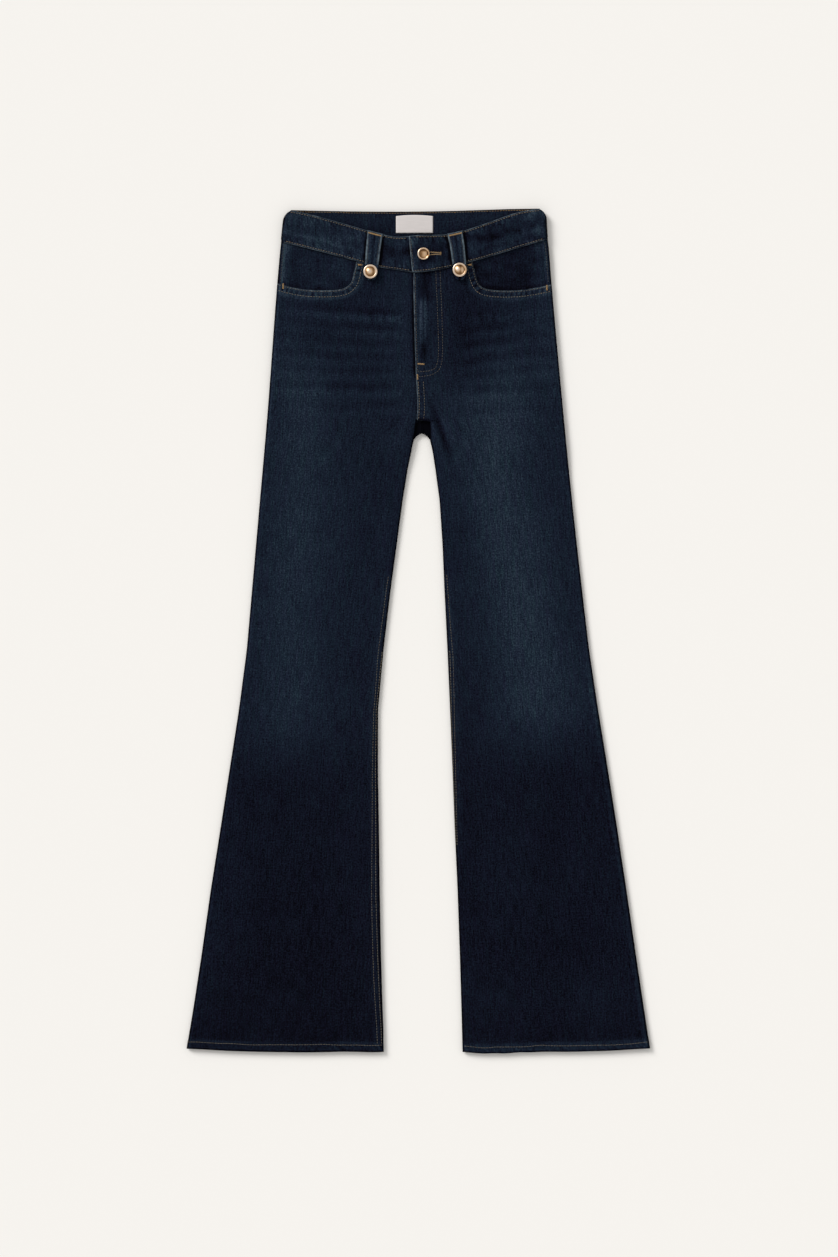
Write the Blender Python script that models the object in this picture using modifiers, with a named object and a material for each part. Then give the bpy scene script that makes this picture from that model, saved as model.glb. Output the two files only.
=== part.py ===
"""Flared jeans, laid flat on their back, each sewn piece a solid of its own.

Metres, +Z up.  +Y runs to the waist and +X to the wearer's left leg, so a piece named right has x
below zero.  The origin is the middle of the garment's box, on the surface that it lies on.

Each panel is a wall of cloth lofted through level rows.  A row runs across the panel from its
low-x edge to its high-x edge, and its ends roll towards the other panel, as at a side seam that
lies folded.  Tables are in millimetres, under named columns, and are read on smooth curves.
"""

import bmesh
import bpy
import numpy as np

MM = 0.001

# One layer of each cloth, and the clearance between two pieces.
CLOTH = 1.2 * MM
BAND = 2.6 * MM
LOOP = 2.4 * MM
LABEL = 1.0 * MM
ZIP = 1.4 * MM
GAP = 0.3 * MM
# The waist seam curves, and the two pieces along it bend at different points.
WAIST_GAP = 0.9 * MM
HEM_BOW = 5.0 * MM

# Metal trims.
BUTTON_RADIUS = 8.3 * MM
BUTTON_HEIGHT = 3.6 * MM
STUD_RADIUS = 9.5 * MM
STUD_HEIGHT = 3.0 * MM
ROUND_STEPS = 20

# Where the two fronts lie over each other at the fly, and where the overlap has levelled out.
FLY_LEVEL = 5.0 * MM
FLY_DOWN = 34.0 * MM
BAND_UNDERLAP = 11.0 * MM
BAND_LEVEL = 24.0 * MM
BAND_DOWN = 36.0 * MM
LOOP_LIFT = 0.6 * MM


def table(columns, *rows):
    """Rows of millimetres under named columns, as arrays in metres."""
    return dict(zip(columns.split(), MM * np.array(rows, float).T))


# The folded edge of the garment on each side, from the hem to the top of the waistband.
SIDES = table(
    "y right left",
    (-556, -308.0, 308.0),
    (-464, -293.0, 294.0),
    (-345, -276.0, 276.5),
    (-225, -257.0, 258.0),
    (-145, -245.0, 244.5),
    (-85, -235.5, 235.0),
    (-25, -228.0, 226.0),
    (55, -221.0, 216.5),
    (174, -210.5, 203.0),
    (294, -200.0, 191.0),
    (455, -188.0, 176.5),
    (520, -182.0, 171.5),
    (548, -178.5, 170.0),
    (556, -174.0, 167.5),
    (561, -166.0, 162.0),
)
# The folded inner edge of each leg, from the hem to the crotch.
INSEAMS = table(
    "y right left",
    (-556, -46.0, 59.5),
    (-464, -49.5, 57.0),
    (-345, -52.0, 53.0),
    (-225, -53.5, 47.5),
    (-145, -55.0, 45.0),
    (-85, -53.5, 42.0),
    (-25, -47.0, 39.5),
    (55, -37.5, 35.5),
    (114, -29.5, 33.0),
    (174, -21.5, 29.0),
    (214, -15.0, 23.5),
    (254, -6.0, 15.5),
)
# Above the crotch: the right front's edge under the fly, the fly's own edge, and the seat seam.
CENTRE = table(
    "y right_front left_front back",
    (262, -4.8, 11.0, 5.0),
    (271, -3.6, 4.0, 4.6),
    (281, -3.4, -3.0, 4.2),
    (292, 0.0, -2.6, 3.8),
    (305, 1.0, -2.2, 3.3),
    (347, 1.0, -4.3, 1.6),
    (440, 1.0, -7.0, -2.0),
    (480, 1.0, -6.3, -3.6),
    (530, 1.0, -11.6, -5.0),
)
# Lines that run across: the seam under the front waistband, its top, and the back's three lines.
ACROSS = table(
    "x front_seam front_top back_top back_seam yoke_seam",
    (-182, 519.5, 560.0, 559.0, 519.0, 486.0),
    (-157, 513.4, 556.5, 558.4, 517.3, 480.0),
    (-131, 506.7, 550.0, 557.8, 516.0, 473.0),
    (-104, 500.0, 542.6, 557.2, 515.0, 466.0),
    (-77, 492.5, 534.7, 556.9, 514.5, 460.0),
    (-46, 484.5, 526.2, 556.6, 514.2, 453.0),
    (-24, 481.8, 522.8, 556.6, 514.0, 449.0),
    (2, 480.2, 525.8, 556.8, 514.0, 447.0),
    (29, 483.5, 525.6, 557.2, 514.3, 451.0),
    (60, 491.0, 531.4, 558.0, 514.8, 458.0),
    (82, 496.3, 538.7, 558.8, 515.6, 463.0),
    (109, 504.2, 548.2, 559.8, 517.0, 470.0),
    (135, 512.2, 557.0, 560.4, 519.0, 477.0),
    (172, 523.0, 562.0, 560.8, 522.5, 488.0),
)
# How high the back lies off the surface, over its pockets and loops, and the air inside.
STACK = table(
    "y rest air",
    (-561, 0.0, 3.4),
    (-500, 0.0, 3.0),
    (200, 0.0, 2.6),
    (250, 1.5, 2.8),
    (440, 1.5, 2.8),
    (500, 2.7, 2.8),
    (561, 2.7, 2.8),
)
BAND_AIR = 1.6 * MM
# The roll of a folded edge: how far in from it, and the share of the way to the flat part.
ROLL = ((0.0, 0.0), (1.2, 0.5), (3.5, 0.87), (8.0, 1.0))
MIDDLE_COLUMNS = 4
FRONT_BAND_COLUMNS = 10
BACK_BAND_COLUMNS = 8
# Rows of a front panel, as heights at the middle of the panel.  The last one becomes the seam.
HEM_ROWS = (-556, -546.5, -545, -500)
LEG_ROWS = (-430, -345, -265, -185, -105, -25, 55, 114, 174, 214, 238)
CROTCH_ROWS = (254, 262, 271, 281, 292, 305)
FRONT_RISE_ROWS = (345, 385, 420, 450, 478, 500)
BACK_RISE_ROWS = (335, 370, 405, 435, 460)
# Above and below these heights the rows turn from level to the waist seam and to the hem's bow.
FAN_WAIST = 0.305
FAN_HEM = -0.500
# Rows of a waistband: share of its height, and how far its long edges dip there.
BAND_ROWS = ((0.0, 0.75), (0.10, 0.0), (0.5, 0.0), (0.90, 0.0), (1.0, 0.75))
# Broad soft folds of the front: centre, direction, half length, half width and height.
FOLDS = table(
    "x y along_x along_y half_length half_width height",
    (22, 272, -10, 33, 48, 15, 1.3),
    (-128, 60, 6, 100, 210, 26, 0.9),
    (128, 40, -6, 100, 200, 26, 0.9),
    (-215, -330, 12, 100, 150, 24, 0.8),
    (190, -350, -14, 100, 150, 26, 0.8),
)
# The edge of each pocket opening, from the waistband seam round to the side seam.
POCKET_EDGE = table(
    "right_x right_y left_x left_y",
    (-82.0, 495.0, 71.5, 496.0),
    (-86.0, 477.0, 76.0, 478.0),
    (-91.5, 463.5, 82.0, 463.0),
    (-104.0, 455.3, 93.0, 455.3),
    (-137.0, 453.9, 124.0, 453.5),
    (-163.0, 456.5, 155.0, 456.9),
    (-190.0, 463.5, 180.0, 462.0),
)
# The cutter of an opening runs on past the side seam and the waist seam.
CUTTER_SIDE = {"right": -0.25, "left": 0.25}
CUTTER_TOP = 0.60
CUTTER_HEIGHT = 0.06
FACING_LOW = 0.425
FACING_COLUMNS = 7
# A front belt loop: centre and width at each height, from its rounded tip to the band's top.
BELT_LOOP = table(
    "y right_x right_width left_x left_width",
    (467, -62.5, 9.0, 55.0, 9.0),
    (469, -62.5, 15.0, 55.0, 15.0),
    (473, -62.4, 19.0, 55.0, 19.0),
    (490, -61.5, 19.5, 54.3, 20.0),
    (510, -59.5, 21.0, 52.0, 21.5),
    (530, -57.0, 22.6, 48.4, 23.0),
)
LOOP_ROWS = (467, 468, 469.5, 473, 480, 490, 500, 510, 520, 528)
LOOP_DROP = 1.4 * MM
BACK_LOOP = {"width": 12 * MM, "low": 0.508, "high": 0.5545, "turn": 0.107}
# A back pocket: its middle, its half widths, and its corners and point above and below the middle.
BACK_POCKET = {"x": 0.094, "y": 0.368, "top": 0.066, "foot": 0.058}
POCKET_HEIGHTS = {"high": 0.070, "low": -0.052, "point": -0.072}
ZIP_TAPE = {"low_x": -0.004, "high_x": 0.008, "low": 0.362, "high": 0.474}
LABEL_BOX = {"low_x": -0.0296, "high_x": 0.0196, "low": 0.5287, "high": 0.5526, "bow": 0.0015}
BUTTON_AT = (7.0 * MM, 502.0 * MM)
STUD_AT = {"right": (-63.5 * MM, 479.0 * MM), "left": (55.0 * MM, 481.0 * MM)}

DENIM = (0.012, 0.017, 0.028)
COLOURS = {
    "denim": (DENIM, 0.85, 0.0),
    "metal": ((0.60, 0.36, 0.16), 0.35, 1.0),
    "label": ((0.68, 0.65, 0.63), 0.80, 0.0),
}


# ---- curves and grids ---------------------------------------------------------------------


def smooth(at, known, values):
    """A cubic curve through (known, values) that never overshoots, read at `at`."""
    step = np.diff(known)
    rate = np.diff(values) / step
    before, after = rate[:-1], rate[1:]
    turning = before * after <= 0
    mean = 2 * before * after / np.where(turning, 1, before + after)
    slope = np.concatenate([rate[:1], np.where(turning, 0, mean), rate[-1:]])
    index = np.clip(np.searchsorted(known, at) - 1, 0, len(step) - 1)
    t = np.clip((at - known[index]) / step[index], 0, 1)
    low, high = values[index], values[index + 1]
    rise = (slope[index] * (1 - t) - slope[index + 1] * t) * step[index]
    return low + (high - low) * t * t * (3 - 2 * t) + rise * t * (1 - t)


def read(rows, column, at, by="y"):
    return smooth(at, rows[by], rows[column])


def ease(x):
    """0 below 0, 1 above 1, and a smooth step between."""
    x = np.clip(x, 0, 1)
    return x * x * (3 - 2 * x)


def side_edge(side):
    return lambda y: read(SIDES, side, y)


def inner_edge(side, column):
    """The inseam up to the crotch, then the named centre line."""
    known = np.concatenate([INSEAMS["y"], CENTRE["y"]])
    values = np.concatenate([INSEAMS[side], CENTRE[column]])
    return lambda y: smooth(y, known, values)


def line(column):
    return lambda x: read(ACROSS, column, x, by="x")


def columns(middle):
    """For each column: its share of the way across, its offset in, and its roll shares."""
    offsets = MM * np.array([step for step, _ in ROLL])
    shares = np.array([share for _, share in ROLL])
    inside = np.arange(1, middle + 1) / (middle + 1)
    across = np.concatenate([0 * offsets, inside, 0 * offsets + 1])
    offset = np.concatenate([offsets, offsets[-1] * (1 - 2 * inside), -offsets[::-1]])
    full = np.ones(middle + len(ROLL))
    return across, offset, np.concatenate([shares, full]), np.concatenate([full, shares[::-1]])


def lay_out(low, high, rows, top):
    """x and y of a panel's points.  Its upper rows turn evenly into the top line."""
    across, offset, _, _ = columns(MIDDLE_COLUMNS)
    level = MM * np.array(rows, float)[:, None] + 0 * across
    fan = ease((level - FAN_WAIST) / (level[-1] - FAN_WAIST))
    hem = ease((FAN_HEM - level) / (FAN_HEM - level[0]))
    y = level
    for _ in range(4):
        x = low(y) + (high(y) - low(y)) * across + offset
        y = level + fan * (top(x) - level[-1]) - hem * HEM_BOW * 4 * across * (1 - across)
    return x, y


def stack_at(y):
    return read(STACK, "rest", y), read(STACK, "air", y)


def rolled(roll_low, roll_high, middle=MIDDLE_COLUMNS):
    """The share of the way from the seam's height to the flat part, for each point."""
    _, _, low, high = columns(middle)
    return (1 - roll_low * (1 - low)) * (1 - roll_high * (1 - high))


def seam_height(y):
    """The height at which a front and a back meet along a folded edge."""
    rest, air = stack_at(y)
    return rest + CLOTH + air / 2


def fold_height(x, y):
    total = 0 * x
    for row in zip(*FOLDS.values()):
        at_x, at_y, along_x, along_y, half_length, half_width, height = row
        length = np.hypot(along_x, along_y)
        run = ((x - at_x) * along_x + (y - at_y) * along_y) / length
        off = ((x - at_x) * along_y - (y - at_y) * along_x) / length
        fade = ease(1.4 * (1 - abs(run) / half_length))
        total = total + height * np.exp(-((off / half_width) ** 2)) * fade
    return total


def front_face(x, y, share, lift=0.0):
    """The outer face of a front panel: over the back and the air, rolled down to the seam."""
    rest, air = stack_at(y)
    seam = seam_height(y) + GAP / 2
    flat = rest + CLOTH + air + CLOTH + fold_height(x, y) + lift
    return np.stack([x, y, seam + (flat - seam) * share], axis=-1)


def back_face(x, y, share):
    """The outer face of a back panel, which lies on the surface, rolled up to the seam."""
    rest, _ = stack_at(y)
    seam = seam_height(y) - GAP / 2
    return np.stack([x, y, seam + (rest - seam) * share], axis=-1)


def moved(face, distance, roll_low=0.0, roll_high=0.0, facing=1):
    """A face moved out along its normals, and level at an edge that rolls.

    facing is -1 for a face that looks down.
    """
    up = np.gradient(face, axis=0)
    over = np.gradient(face, axis=1)
    normal = facing * np.cross(over, up)
    normal /= np.linalg.norm(normal, axis=-1, keepdims=True)
    for column, roll, level in ((0, roll_low, -1.0), (-1, roll_high, 1.0)):
        roll = np.reshape(roll + np.zeros(len(face)), (-1, 1))
        turned = normal[:, column] * (1 - roll) + np.array([level, 0, 0]) * roll
        normal[:, column] = turned / np.linalg.norm(turned, axis=-1, keepdims=True)
    return face + normal * np.reshape(distance + np.zeros(len(face)), (-1, 1, 1))


def kept(face, limit, clip):
    """A face whose height is clipped, so that two walls keep their clearance where they meet."""
    return np.concatenate([face[..., :2], clip(face[..., 2:], limit[..., None])], axis=-1)


def overlap_lift(x, thickness, level, down):
    """How far the left side is lifted where it lies over the right."""
    return (thickness + GAP) * (1 - ease((x - level) / (down - level)))


# ---- objects ------------------------------------------------------------------------------


def collection(name):
    made = bpy.data.collections.new(name)
    bpy.context.scene.collection.children.link(made)
    return made


def material(name, kind):
    colour, roughness, metallic = COLOURS[kind]
    made = bpy.data.materials.new(name)
    made.use_nodes = True
    shader = made.node_tree.nodes["Principled BSDF"]
    shader.inputs["Base Color"].default_value = (*colour, 1)
    shader.inputs["Roughness"].default_value = roughness
    shader.inputs["Metallic"].default_value = metallic
    return made


def add(name, mesh, kind, into):
    made = bpy.data.objects.new(name, mesh)
    made.data.materials.append(material(name, kind))
    into.objects.link(made)
    return made


def loft(name, upper, lower, kind, into):
    """A closed wall between two grids of points, the upper one facing up."""
    rows, across = upper.shape[:2]
    shape = bmesh.new()
    top = [[shape.verts.new(point) for point in row] for row in upper]
    under = [[shape.verts.new(point) for point in row] for row in lower]
    for i in range(rows - 1):
        for j in range(across - 1):
            shape.faces.new((top[i][j], top[i][j + 1], top[i + 1][j + 1], top[i + 1][j]))
            shape.faces.new((under[i][j], under[i + 1][j], under[i + 1][j + 1], under[i][j + 1]))
        shape.faces.new((top[i][0], top[i + 1][0], under[i + 1][0], under[i][0]))
        shape.faces.new((top[i][-1], under[i][-1], under[i + 1][-1], top[i + 1][-1]))
    for j in range(across - 1):
        shape.faces.new((top[0][j], under[0][j], under[0][j + 1], top[0][j + 1]))
        shape.faces.new((top[-1][j], top[-1][j + 1], under[-1][j + 1], under[-1][j]))
    mesh = bpy.data.meshes.new(name)
    shape.to_mesh(mesh)
    shape.free()
    return add(name, mesh, kind, into)


def plate(name, outline, low, thickness, kind, into):
    """A flat outline with a thickness, from a 2D curve."""
    curve = bpy.data.curves.new(name, "CURVE")
    curve.dimensions = "2D"
    curve.fill_mode = "BOTH"
    curve.extrude = thickness / 2
    spline = curve.splines.new("POLY")
    spline.points.add(len(outline) - 1)
    for point, (x, y) in zip(spline.points, outline):
        point.co = (x, y, 0, 1)
    spline.use_cyclic_u = True
    made = add(name, curve, kind, into)
    made.location.z = low + thickness / 2
    return made


def as_mesh(curve_object, into):
    """The curve object made a mesh with its caps welded, so that a Boolean can use it."""
    bpy.context.view_layer.update()
    graph = bpy.context.evaluated_depsgraph_get()
    mesh = bpy.data.meshes.new_from_object(curve_object.evaluated_get(graph))
    shape = bmesh.new()
    shape.from_mesh(mesh)
    bmesh.ops.remove_doubles(shape, verts=shape.verts, dist=0.01 * MM)
    bmesh.ops.recalc_face_normals(shape, faces=shape.faces)
    shape.to_mesh(mesh)
    shape.free()
    name, place = curve_object.name, curve_object.matrix_world.copy()
    bpy.data.objects.remove(curve_object)
    made = bpy.data.objects.new(name, mesh)
    made.matrix_world = place
    into.objects.link(made)
    return made


def turned(name, profile, at, into):
    """A turned piece: its profile (radius, height), top to bottom, swept round by a Screw."""
    mesh = bpy.data.meshes.new(name)
    points = [(radius, 0, height) for radius, height in profile]
    mesh.from_pydata(points, [(k, k + 1) for k in range(len(points) - 1)], [])
    made = add(name, mesh, "metal", into)
    screw = made.modifiers.new("turn", "SCREW")
    screw.steps = screw.render_steps = ROUND_STEPS
    screw.use_merge_vertices = True
    screw.merge_threshold = 0.01 * MM
    made.location = at
    return made


# ---- the pieces ---------------------------------------------------------------------------


def front_panels(into, cutters):
    """Both fronts, from hem to waistband, with the pocket openings cut out, and the facings."""
    rows = HEM_ROWS + LEG_ROWS + CROTCH_ROWS + FRONT_RISE_ROWS
    for side in ("right", "left"):
        ends = [side_edge(side), inner_edge(side, f"{side}_front")]
        low, high = ends if side == "right" else ends[::-1]
        level = MM * np.array(rows, float)[:, None]
        x, y = lay_out(low, high, rows, lambda x: line("front_seam")(x) - WAIST_GAP)
        inner_roll = 1 - ease((level - 0.262) / 0.022)
        rolls = (1.0, inner_roll) if side == "right" else (inner_roll, 1.0)
        lift = 0.0
        if side == "left":
            lift = overlap_lift(x, CLOTH, FLY_LEVEL, FLY_DOWN) * ease((y - 0.262) / 0.016)
        share = rolled(rolls[0], rolls[1])
        face = front_face(x, y, share, lift)
        thickness = np.ravel(np.where(level <= MM * HEM_ROWS[1], 2 * CLOTH, CLOTH))
        edge_rolls = [np.ravel(roll + 0 * level) for roll in rolls]
        lowest = seam_height(y) + GAP / 2
        inside = kept(moved(face, -thickness, *edge_rolls), lowest, np.maximum)
        panel = loft(f"front_panel_{side}", face, inside, "denim", into)
        cut_pocket(panel, side, cutters)
        facing(side, face, y, edge_rolls, into)


def pocket_line(side, per_span=4):
    """The pocket opening's edge, as points on a smooth curve through its table."""
    knots = np.arange(len(POCKET_EDGE["right_x"]), dtype=float)
    at = np.linspace(0, knots[-1], int(knots[-1]) * per_span + 1)
    return [smooth(at, knots, POCKET_EDGE[f"{side}_{axis}"]) for axis in "xy"]


def cut_pocket(panel, side, cutters):
    x, y = pocket_line(side)
    far = CUTTER_SIDE[side]
    outline = [*zip(x, y), (far, y[-1]), (far, CUTTER_TOP), (x[0], CUTTER_TOP)]
    block = plate(f"pocket_cutter_{side}", outline, -CUTTER_HEIGHT / 2, CUTTER_HEIGHT, "denim", cutters)
    cutter = as_mesh(block, cutters)
    cutter.hide_render = True
    cutter.display_type = "WIRE"
    cut = panel.modifiers.new("pocket opening", "BOOLEAN")
    cut.operation = "DIFFERENCE"
    cut.object = cutter


def facing(side, face, y, edge_rolls, into):
    """The hip piece that shows in the opening: the front's own points, moved in under it."""
    span = slice(0, FACING_COLUMNS) if side == "right" else slice(-FACING_COLUMNS, None)
    rows = np.flatnonzero(y[:, span].max(axis=1) > FACING_LOW)
    lowest = seam_height(y) + GAP / 2
    upper = kept(moved(face, -(CLOTH + GAP), *edge_rolls), lowest, np.maximum)
    lower = kept(moved(face, -(2 * CLOTH + GAP), *edge_rolls), lowest, np.maximum)
    loft(f"hip_facing_{side}", upper[rows][:, span], lower[rows][:, span], "denim", into)


def back_panels(into):
    """Both backs up to the yoke, and the yokes."""
    rows = HEM_ROWS + LEG_ROWS + CROTCH_ROWS + BACK_RISE_ROWS
    for side in ("right", "left"):
        sign = -1 if side == "right" else 1
        inner = inner_edge(side, "back")

        def seat(y):
            return inner(y) + sign * GAP / 2

        ends = [side_edge(side), seat]
        low, high = ends if side == "right" else ends[::-1]
        level = MM * np.array(rows, float)[:, None]
        inner_roll = 1 - ease((level - 0.252) / 0.012)
        rolls = (1.0, inner_roll) if side == "right" else (inner_roll, 1.0)
        x, y = lay_out(low, high, rows, lambda x: line("yoke_seam")(x) - GAP)
        face = back_face(x, y, rolled(*rolls))
        thickness = np.ravel(np.where(level <= MM * HEM_ROWS[1], 2 * CLOTH, CLOTH))
        edge_rolls = [np.ravel(roll + 0 * level) for roll in rolls]
        highest = seam_height(y) - GAP / 2
        inside = kept(moved(face, -thickness, *edge_rolls, facing=-1), highest, np.minimum)
        loft(f"back_panel_{side}", inside, face, "denim", into)
        yoke(side, low, high, into)


def yoke(side, low, high, into):
    across, offset, _, _ = columns(MIDDLE_COLUMNS)
    x = low(0.49) + (high(0.49) - low(0.49)) * across + offset
    for _ in range(3):
        bottom = line("yoke_seam")(x)
        y = bottom + (line("back_seam")(x) - GAP - bottom) * np.array([0, 0.5, 1])[:, None]
        x = low(y) + (high(y) - low(y)) * across + offset
    rolls = (1.0, 0.0) if side == "right" else (0.0, 1.0)
    face = back_face(x, y, rolled(*rolls))
    inside = kept(moved(face, -CLOTH, *rolls, facing=-1), seam_height(y) - GAP / 2, np.minimum)
    loft(f"back_yoke_{side}", inside, face, "denim", into)


def band_grid(low, high, bottom, top, middle):
    """x and y of a waistband's points, and how far each row dips at the band's long edges."""
    across, offset, _, _ = columns(middle)
    height = np.array([share for share, _ in BAND_ROWS])[:, None]
    x = low(0.52) + (high(0.52) - low(0.52)) * across + offset
    for _ in range(6):
        y = line(bottom)(x) + GAP / 2 + (line(top)(x) - line(bottom)(x) - GAP / 2) * height
        x = low(y) + (high(y) - low(y)) * across + offset
    return x, y


def band_height(lift):
    """The height of the front waistband's flat outer face, where it is lifted this far."""
    return STACK["rest"][-1] + BAND + BAND_AIR + BAND + lift


def waistbands(into):
    """The front waistband's two ends, left over right, and the back waistband."""
    dip = MM * np.array([dip for _, dip in BAND_ROWS])[:, None]
    rest = STACK["rest"][-1]
    seam = rest + BAND + BAND_AIR / 2
    ends = {
        "right": (side_edge("right"), lambda y: BAND_UNDERLAP + 0 * y, 1.0, 0.0),
        "left": (lambda y: read(CENTRE, "left_front", y), side_edge("left"), 0.0, 1.0),
    }
    for side, (low, high, roll_low, roll_high) in ends.items():
        x, y = band_grid(low, high, "front_seam", "front_top", FRONT_BAND_COLUMNS)
        lift = overlap_lift(x, BAND, BAND_LEVEL, BAND_DOWN) if side == "left" else 0.0
        share = rolled(roll_low, roll_high, FRONT_BAND_COLUMNS)
        base = seam + GAP / 2
        face = np.stack([x, y, base + (band_height(lift) - dip - base) * share], axis=-1)
        under = kept(moved(face, -BAND, roll_low, roll_high), base + 0 * x, np.maximum)
        loft(f"waistband_front_{side}", face, under, "denim", into)
    sides = side_edge("right"), side_edge("left")
    x, y = band_grid(*sides, "back_seam", "back_top", BACK_BAND_COLUMNS)
    base = seam - GAP / 2
    share = rolled(1.0, 1.0, BACK_BAND_COLUMNS)
    face = np.stack([x, y, base + (rest + dip - base) * share], axis=-1)
    inside = kept(moved(face, -BAND, 1.0, 1.0, facing=-1), base + 0 * x, np.minimum)
    loft("waistband_back", inside, face, "denim", into)


def front_loops(into):
    """The two wide front belt loops, each with a stud through its tip."""
    y_level = MM * np.array(LOOP_ROWS)[:, None]
    across = np.linspace(-0.5, 0.5, 5)
    for side in ("right", "left"):
        middle = read(BELT_LOOP, f"{side}_x", y_level)
        x = middle + read(BELT_LOOP, f"{side}_width", y_level) * across
        top = line("front_top")
        fan = ease((y_level - 0.480) / 0.048)
        y = y_level + fan * (top(x) - GAP - y_level[-1])
        drop = LOOP_DROP * ease((0.474 - y_level) / 0.007)
        under = np.stack([x, y, band_height(LOOP_LIFT) - drop + 0 * x], axis=-1)
        loft(f"belt_loop_front_{side}", under + np.array([0, 0, LOOP]), under, "denim", into)


def trims(into):
    """The waist button and the two studs, turned in metal."""
    r, h = BUTTON_RADIUS, BUTTON_HEIGHT
    dish = [(0, 0.55 * h), (0.45 * r, 0.60 * h), (0.66 * r, 0.95 * h)]
    rim = [(0.80 * r, h), (0.94 * r, 0.85 * h), (r, 0.55 * h)]
    foot = [(0.96 * r, 0.2 * h), (0.70 * r, 0), (0, 0)]
    lift = BAND + GAP
    seat = band_height(lift) + GAP
    turned("waist_button", dish + rim + foot, (*BUTTON_AT, seat), into)
    r, h = STUD_RADIUS, STUD_HEIGHT
    dome = [(r * np.sin(a), h * np.cos(a)) for a in np.linspace(0, 1.35, 5)]
    for side, at in STUD_AT.items():
        seat = band_height(LOOP_LIFT) + LOOP + GAP
        turned(f"stud_{side}", dome + [(r, 0), (0, 0)], (*at, seat), into)


def back_trims(into):
    """The plain back: two patch pockets, three narrow belt loops."""
    seat_middle = read(CENTRE, "back", BACK_POCKET["y"])
    for side, sign in (("right", -1), ("left", 1)):
        pocket, height = BACK_POCKET, POCKET_HEIGHTS
        corners = [(pocket["top"], height["high"]), (pocket["foot"], height["low"])]
        outline = corners + [(0, height["point"])] + [(-x, y) for x, y in corners[::-1]]
        middle = seat_middle + sign * pocket["x"]
        placed = [(middle + x, pocket["y"] + y) for x, y in outline]
        plate(f"back_pocket_{side}", placed, 0, CLOTH, "denim", into)
    for side, sign in (("right", -1), ("centre", 0), ("left", 1)):
        middle = read(CENTRE, "back", 0.530) + sign * BACK_LOOP["turn"]
        x = (middle - BACK_LOOP["width"] / 2, middle + BACK_LOOP["width"] / 2)
        y = (BACK_LOOP["low"], BACK_LOOP["high"])
        corners = [(x[0], y[0]), (x[1], y[0]), (x[1], y[1]), (x[0], y[1])]
        plate(f"belt_loop_back_{side}", corners, 0, LOOP, "denim", into)


def inside_pieces(into):
    """The zip behind the fly, and the cloth label inside the back waistband."""
    tape = [(ZIP_TAPE[x], ZIP_TAPE["low"]) for x in ("low_x", "high_x")]
    tape += [(ZIP_TAPE[x], ZIP_TAPE["high"]) for x in ("high_x", "low_x")]
    rest, _ = stack_at(np.array(ZIP_TAPE["high"]))
    plate("zip", tape, float(rest) + CLOTH + GAP, ZIP, "metal", into)
    b = LABEL_BOX
    x = np.linspace(b["high_x"], b["low_x"], 7)
    t = np.linspace(-1, 1, 7)
    bowed = list(zip(x, b["high"] + b["bow"] * (1 - t * t)))
    corners = [(b["low_x"], b["low"]), (b["high_x"], b["low"])]
    plate("label", corners + bowed, STACK["rest"][-1] + BAND + GAP, LABEL, "label", into)


def main():
    for old in list(bpy.data.objects):
        bpy.data.objects.remove(old)
    jeans = collection("flared jeans")
    cutters = collection("cutters")
    front_panels(jeans, cutters)
    back_panels(jeans)
    waistbands(jeans)
    front_loops(jeans)
    trims(jeans)
    back_trims(jeans)
    inside_pieces(jeans)


main()
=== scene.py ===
"""The looks of a pair of flared jeans that lie flat on their back, front up.

Metres, +Z up, +Y to the waist and +X to the wearer's left leg.  Each sewn piece is worked out as a
surface over the ground: an outline read from the frame, and a height for every place inside it.
"""

import bpy
import numpy as np
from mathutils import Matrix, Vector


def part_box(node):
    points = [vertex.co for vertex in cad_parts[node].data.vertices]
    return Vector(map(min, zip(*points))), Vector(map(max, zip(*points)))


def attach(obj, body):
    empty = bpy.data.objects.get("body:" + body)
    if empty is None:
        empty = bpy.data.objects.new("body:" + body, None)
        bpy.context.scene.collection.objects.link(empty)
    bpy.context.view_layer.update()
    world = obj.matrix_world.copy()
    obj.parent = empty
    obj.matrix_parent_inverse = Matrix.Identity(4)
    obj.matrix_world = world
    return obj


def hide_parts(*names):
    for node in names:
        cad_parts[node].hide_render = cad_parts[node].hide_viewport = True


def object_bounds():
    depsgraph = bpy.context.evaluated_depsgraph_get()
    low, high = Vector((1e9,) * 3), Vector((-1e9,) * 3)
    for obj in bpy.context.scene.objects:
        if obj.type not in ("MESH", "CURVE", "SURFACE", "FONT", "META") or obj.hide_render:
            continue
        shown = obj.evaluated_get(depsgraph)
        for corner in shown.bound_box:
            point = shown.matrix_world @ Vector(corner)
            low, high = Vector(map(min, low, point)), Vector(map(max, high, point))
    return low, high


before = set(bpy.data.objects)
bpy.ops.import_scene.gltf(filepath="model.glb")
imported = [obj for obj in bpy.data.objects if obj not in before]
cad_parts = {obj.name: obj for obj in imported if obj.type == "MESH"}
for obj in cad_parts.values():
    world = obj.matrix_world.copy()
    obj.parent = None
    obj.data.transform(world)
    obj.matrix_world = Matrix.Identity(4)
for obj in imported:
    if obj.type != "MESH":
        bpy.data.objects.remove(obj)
cad_box = [list(corner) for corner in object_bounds()]

# ---- floor, light and camera ------------------------------------------------------------------
# The jeans lie on a plain pale floor under an even sky of soft light, with one broad lamp up and
# to the left.  The camera hangs far above the middle and looks straight down.

MM = 0.001
FLOOR_DROP = 0.6 * MM
FLOOR_HALF = 4.0
FLOOR_COLOUR = (0.905, 0.880, 0.840)
CAMERA_HEIGHT = 6.0
CAMERA_SHIFT = (1.0 * MM, 3.3 * MM)
VIEW_HEIGHT = 1.672
SENSOR = 24.0
SUN_FROM = (-0.72, 0.62, 0.56)
SUN_ANGLE = 26.0
SUN_STRENGTH = 2.55
SKY_STRENGTH = 0.61


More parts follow.
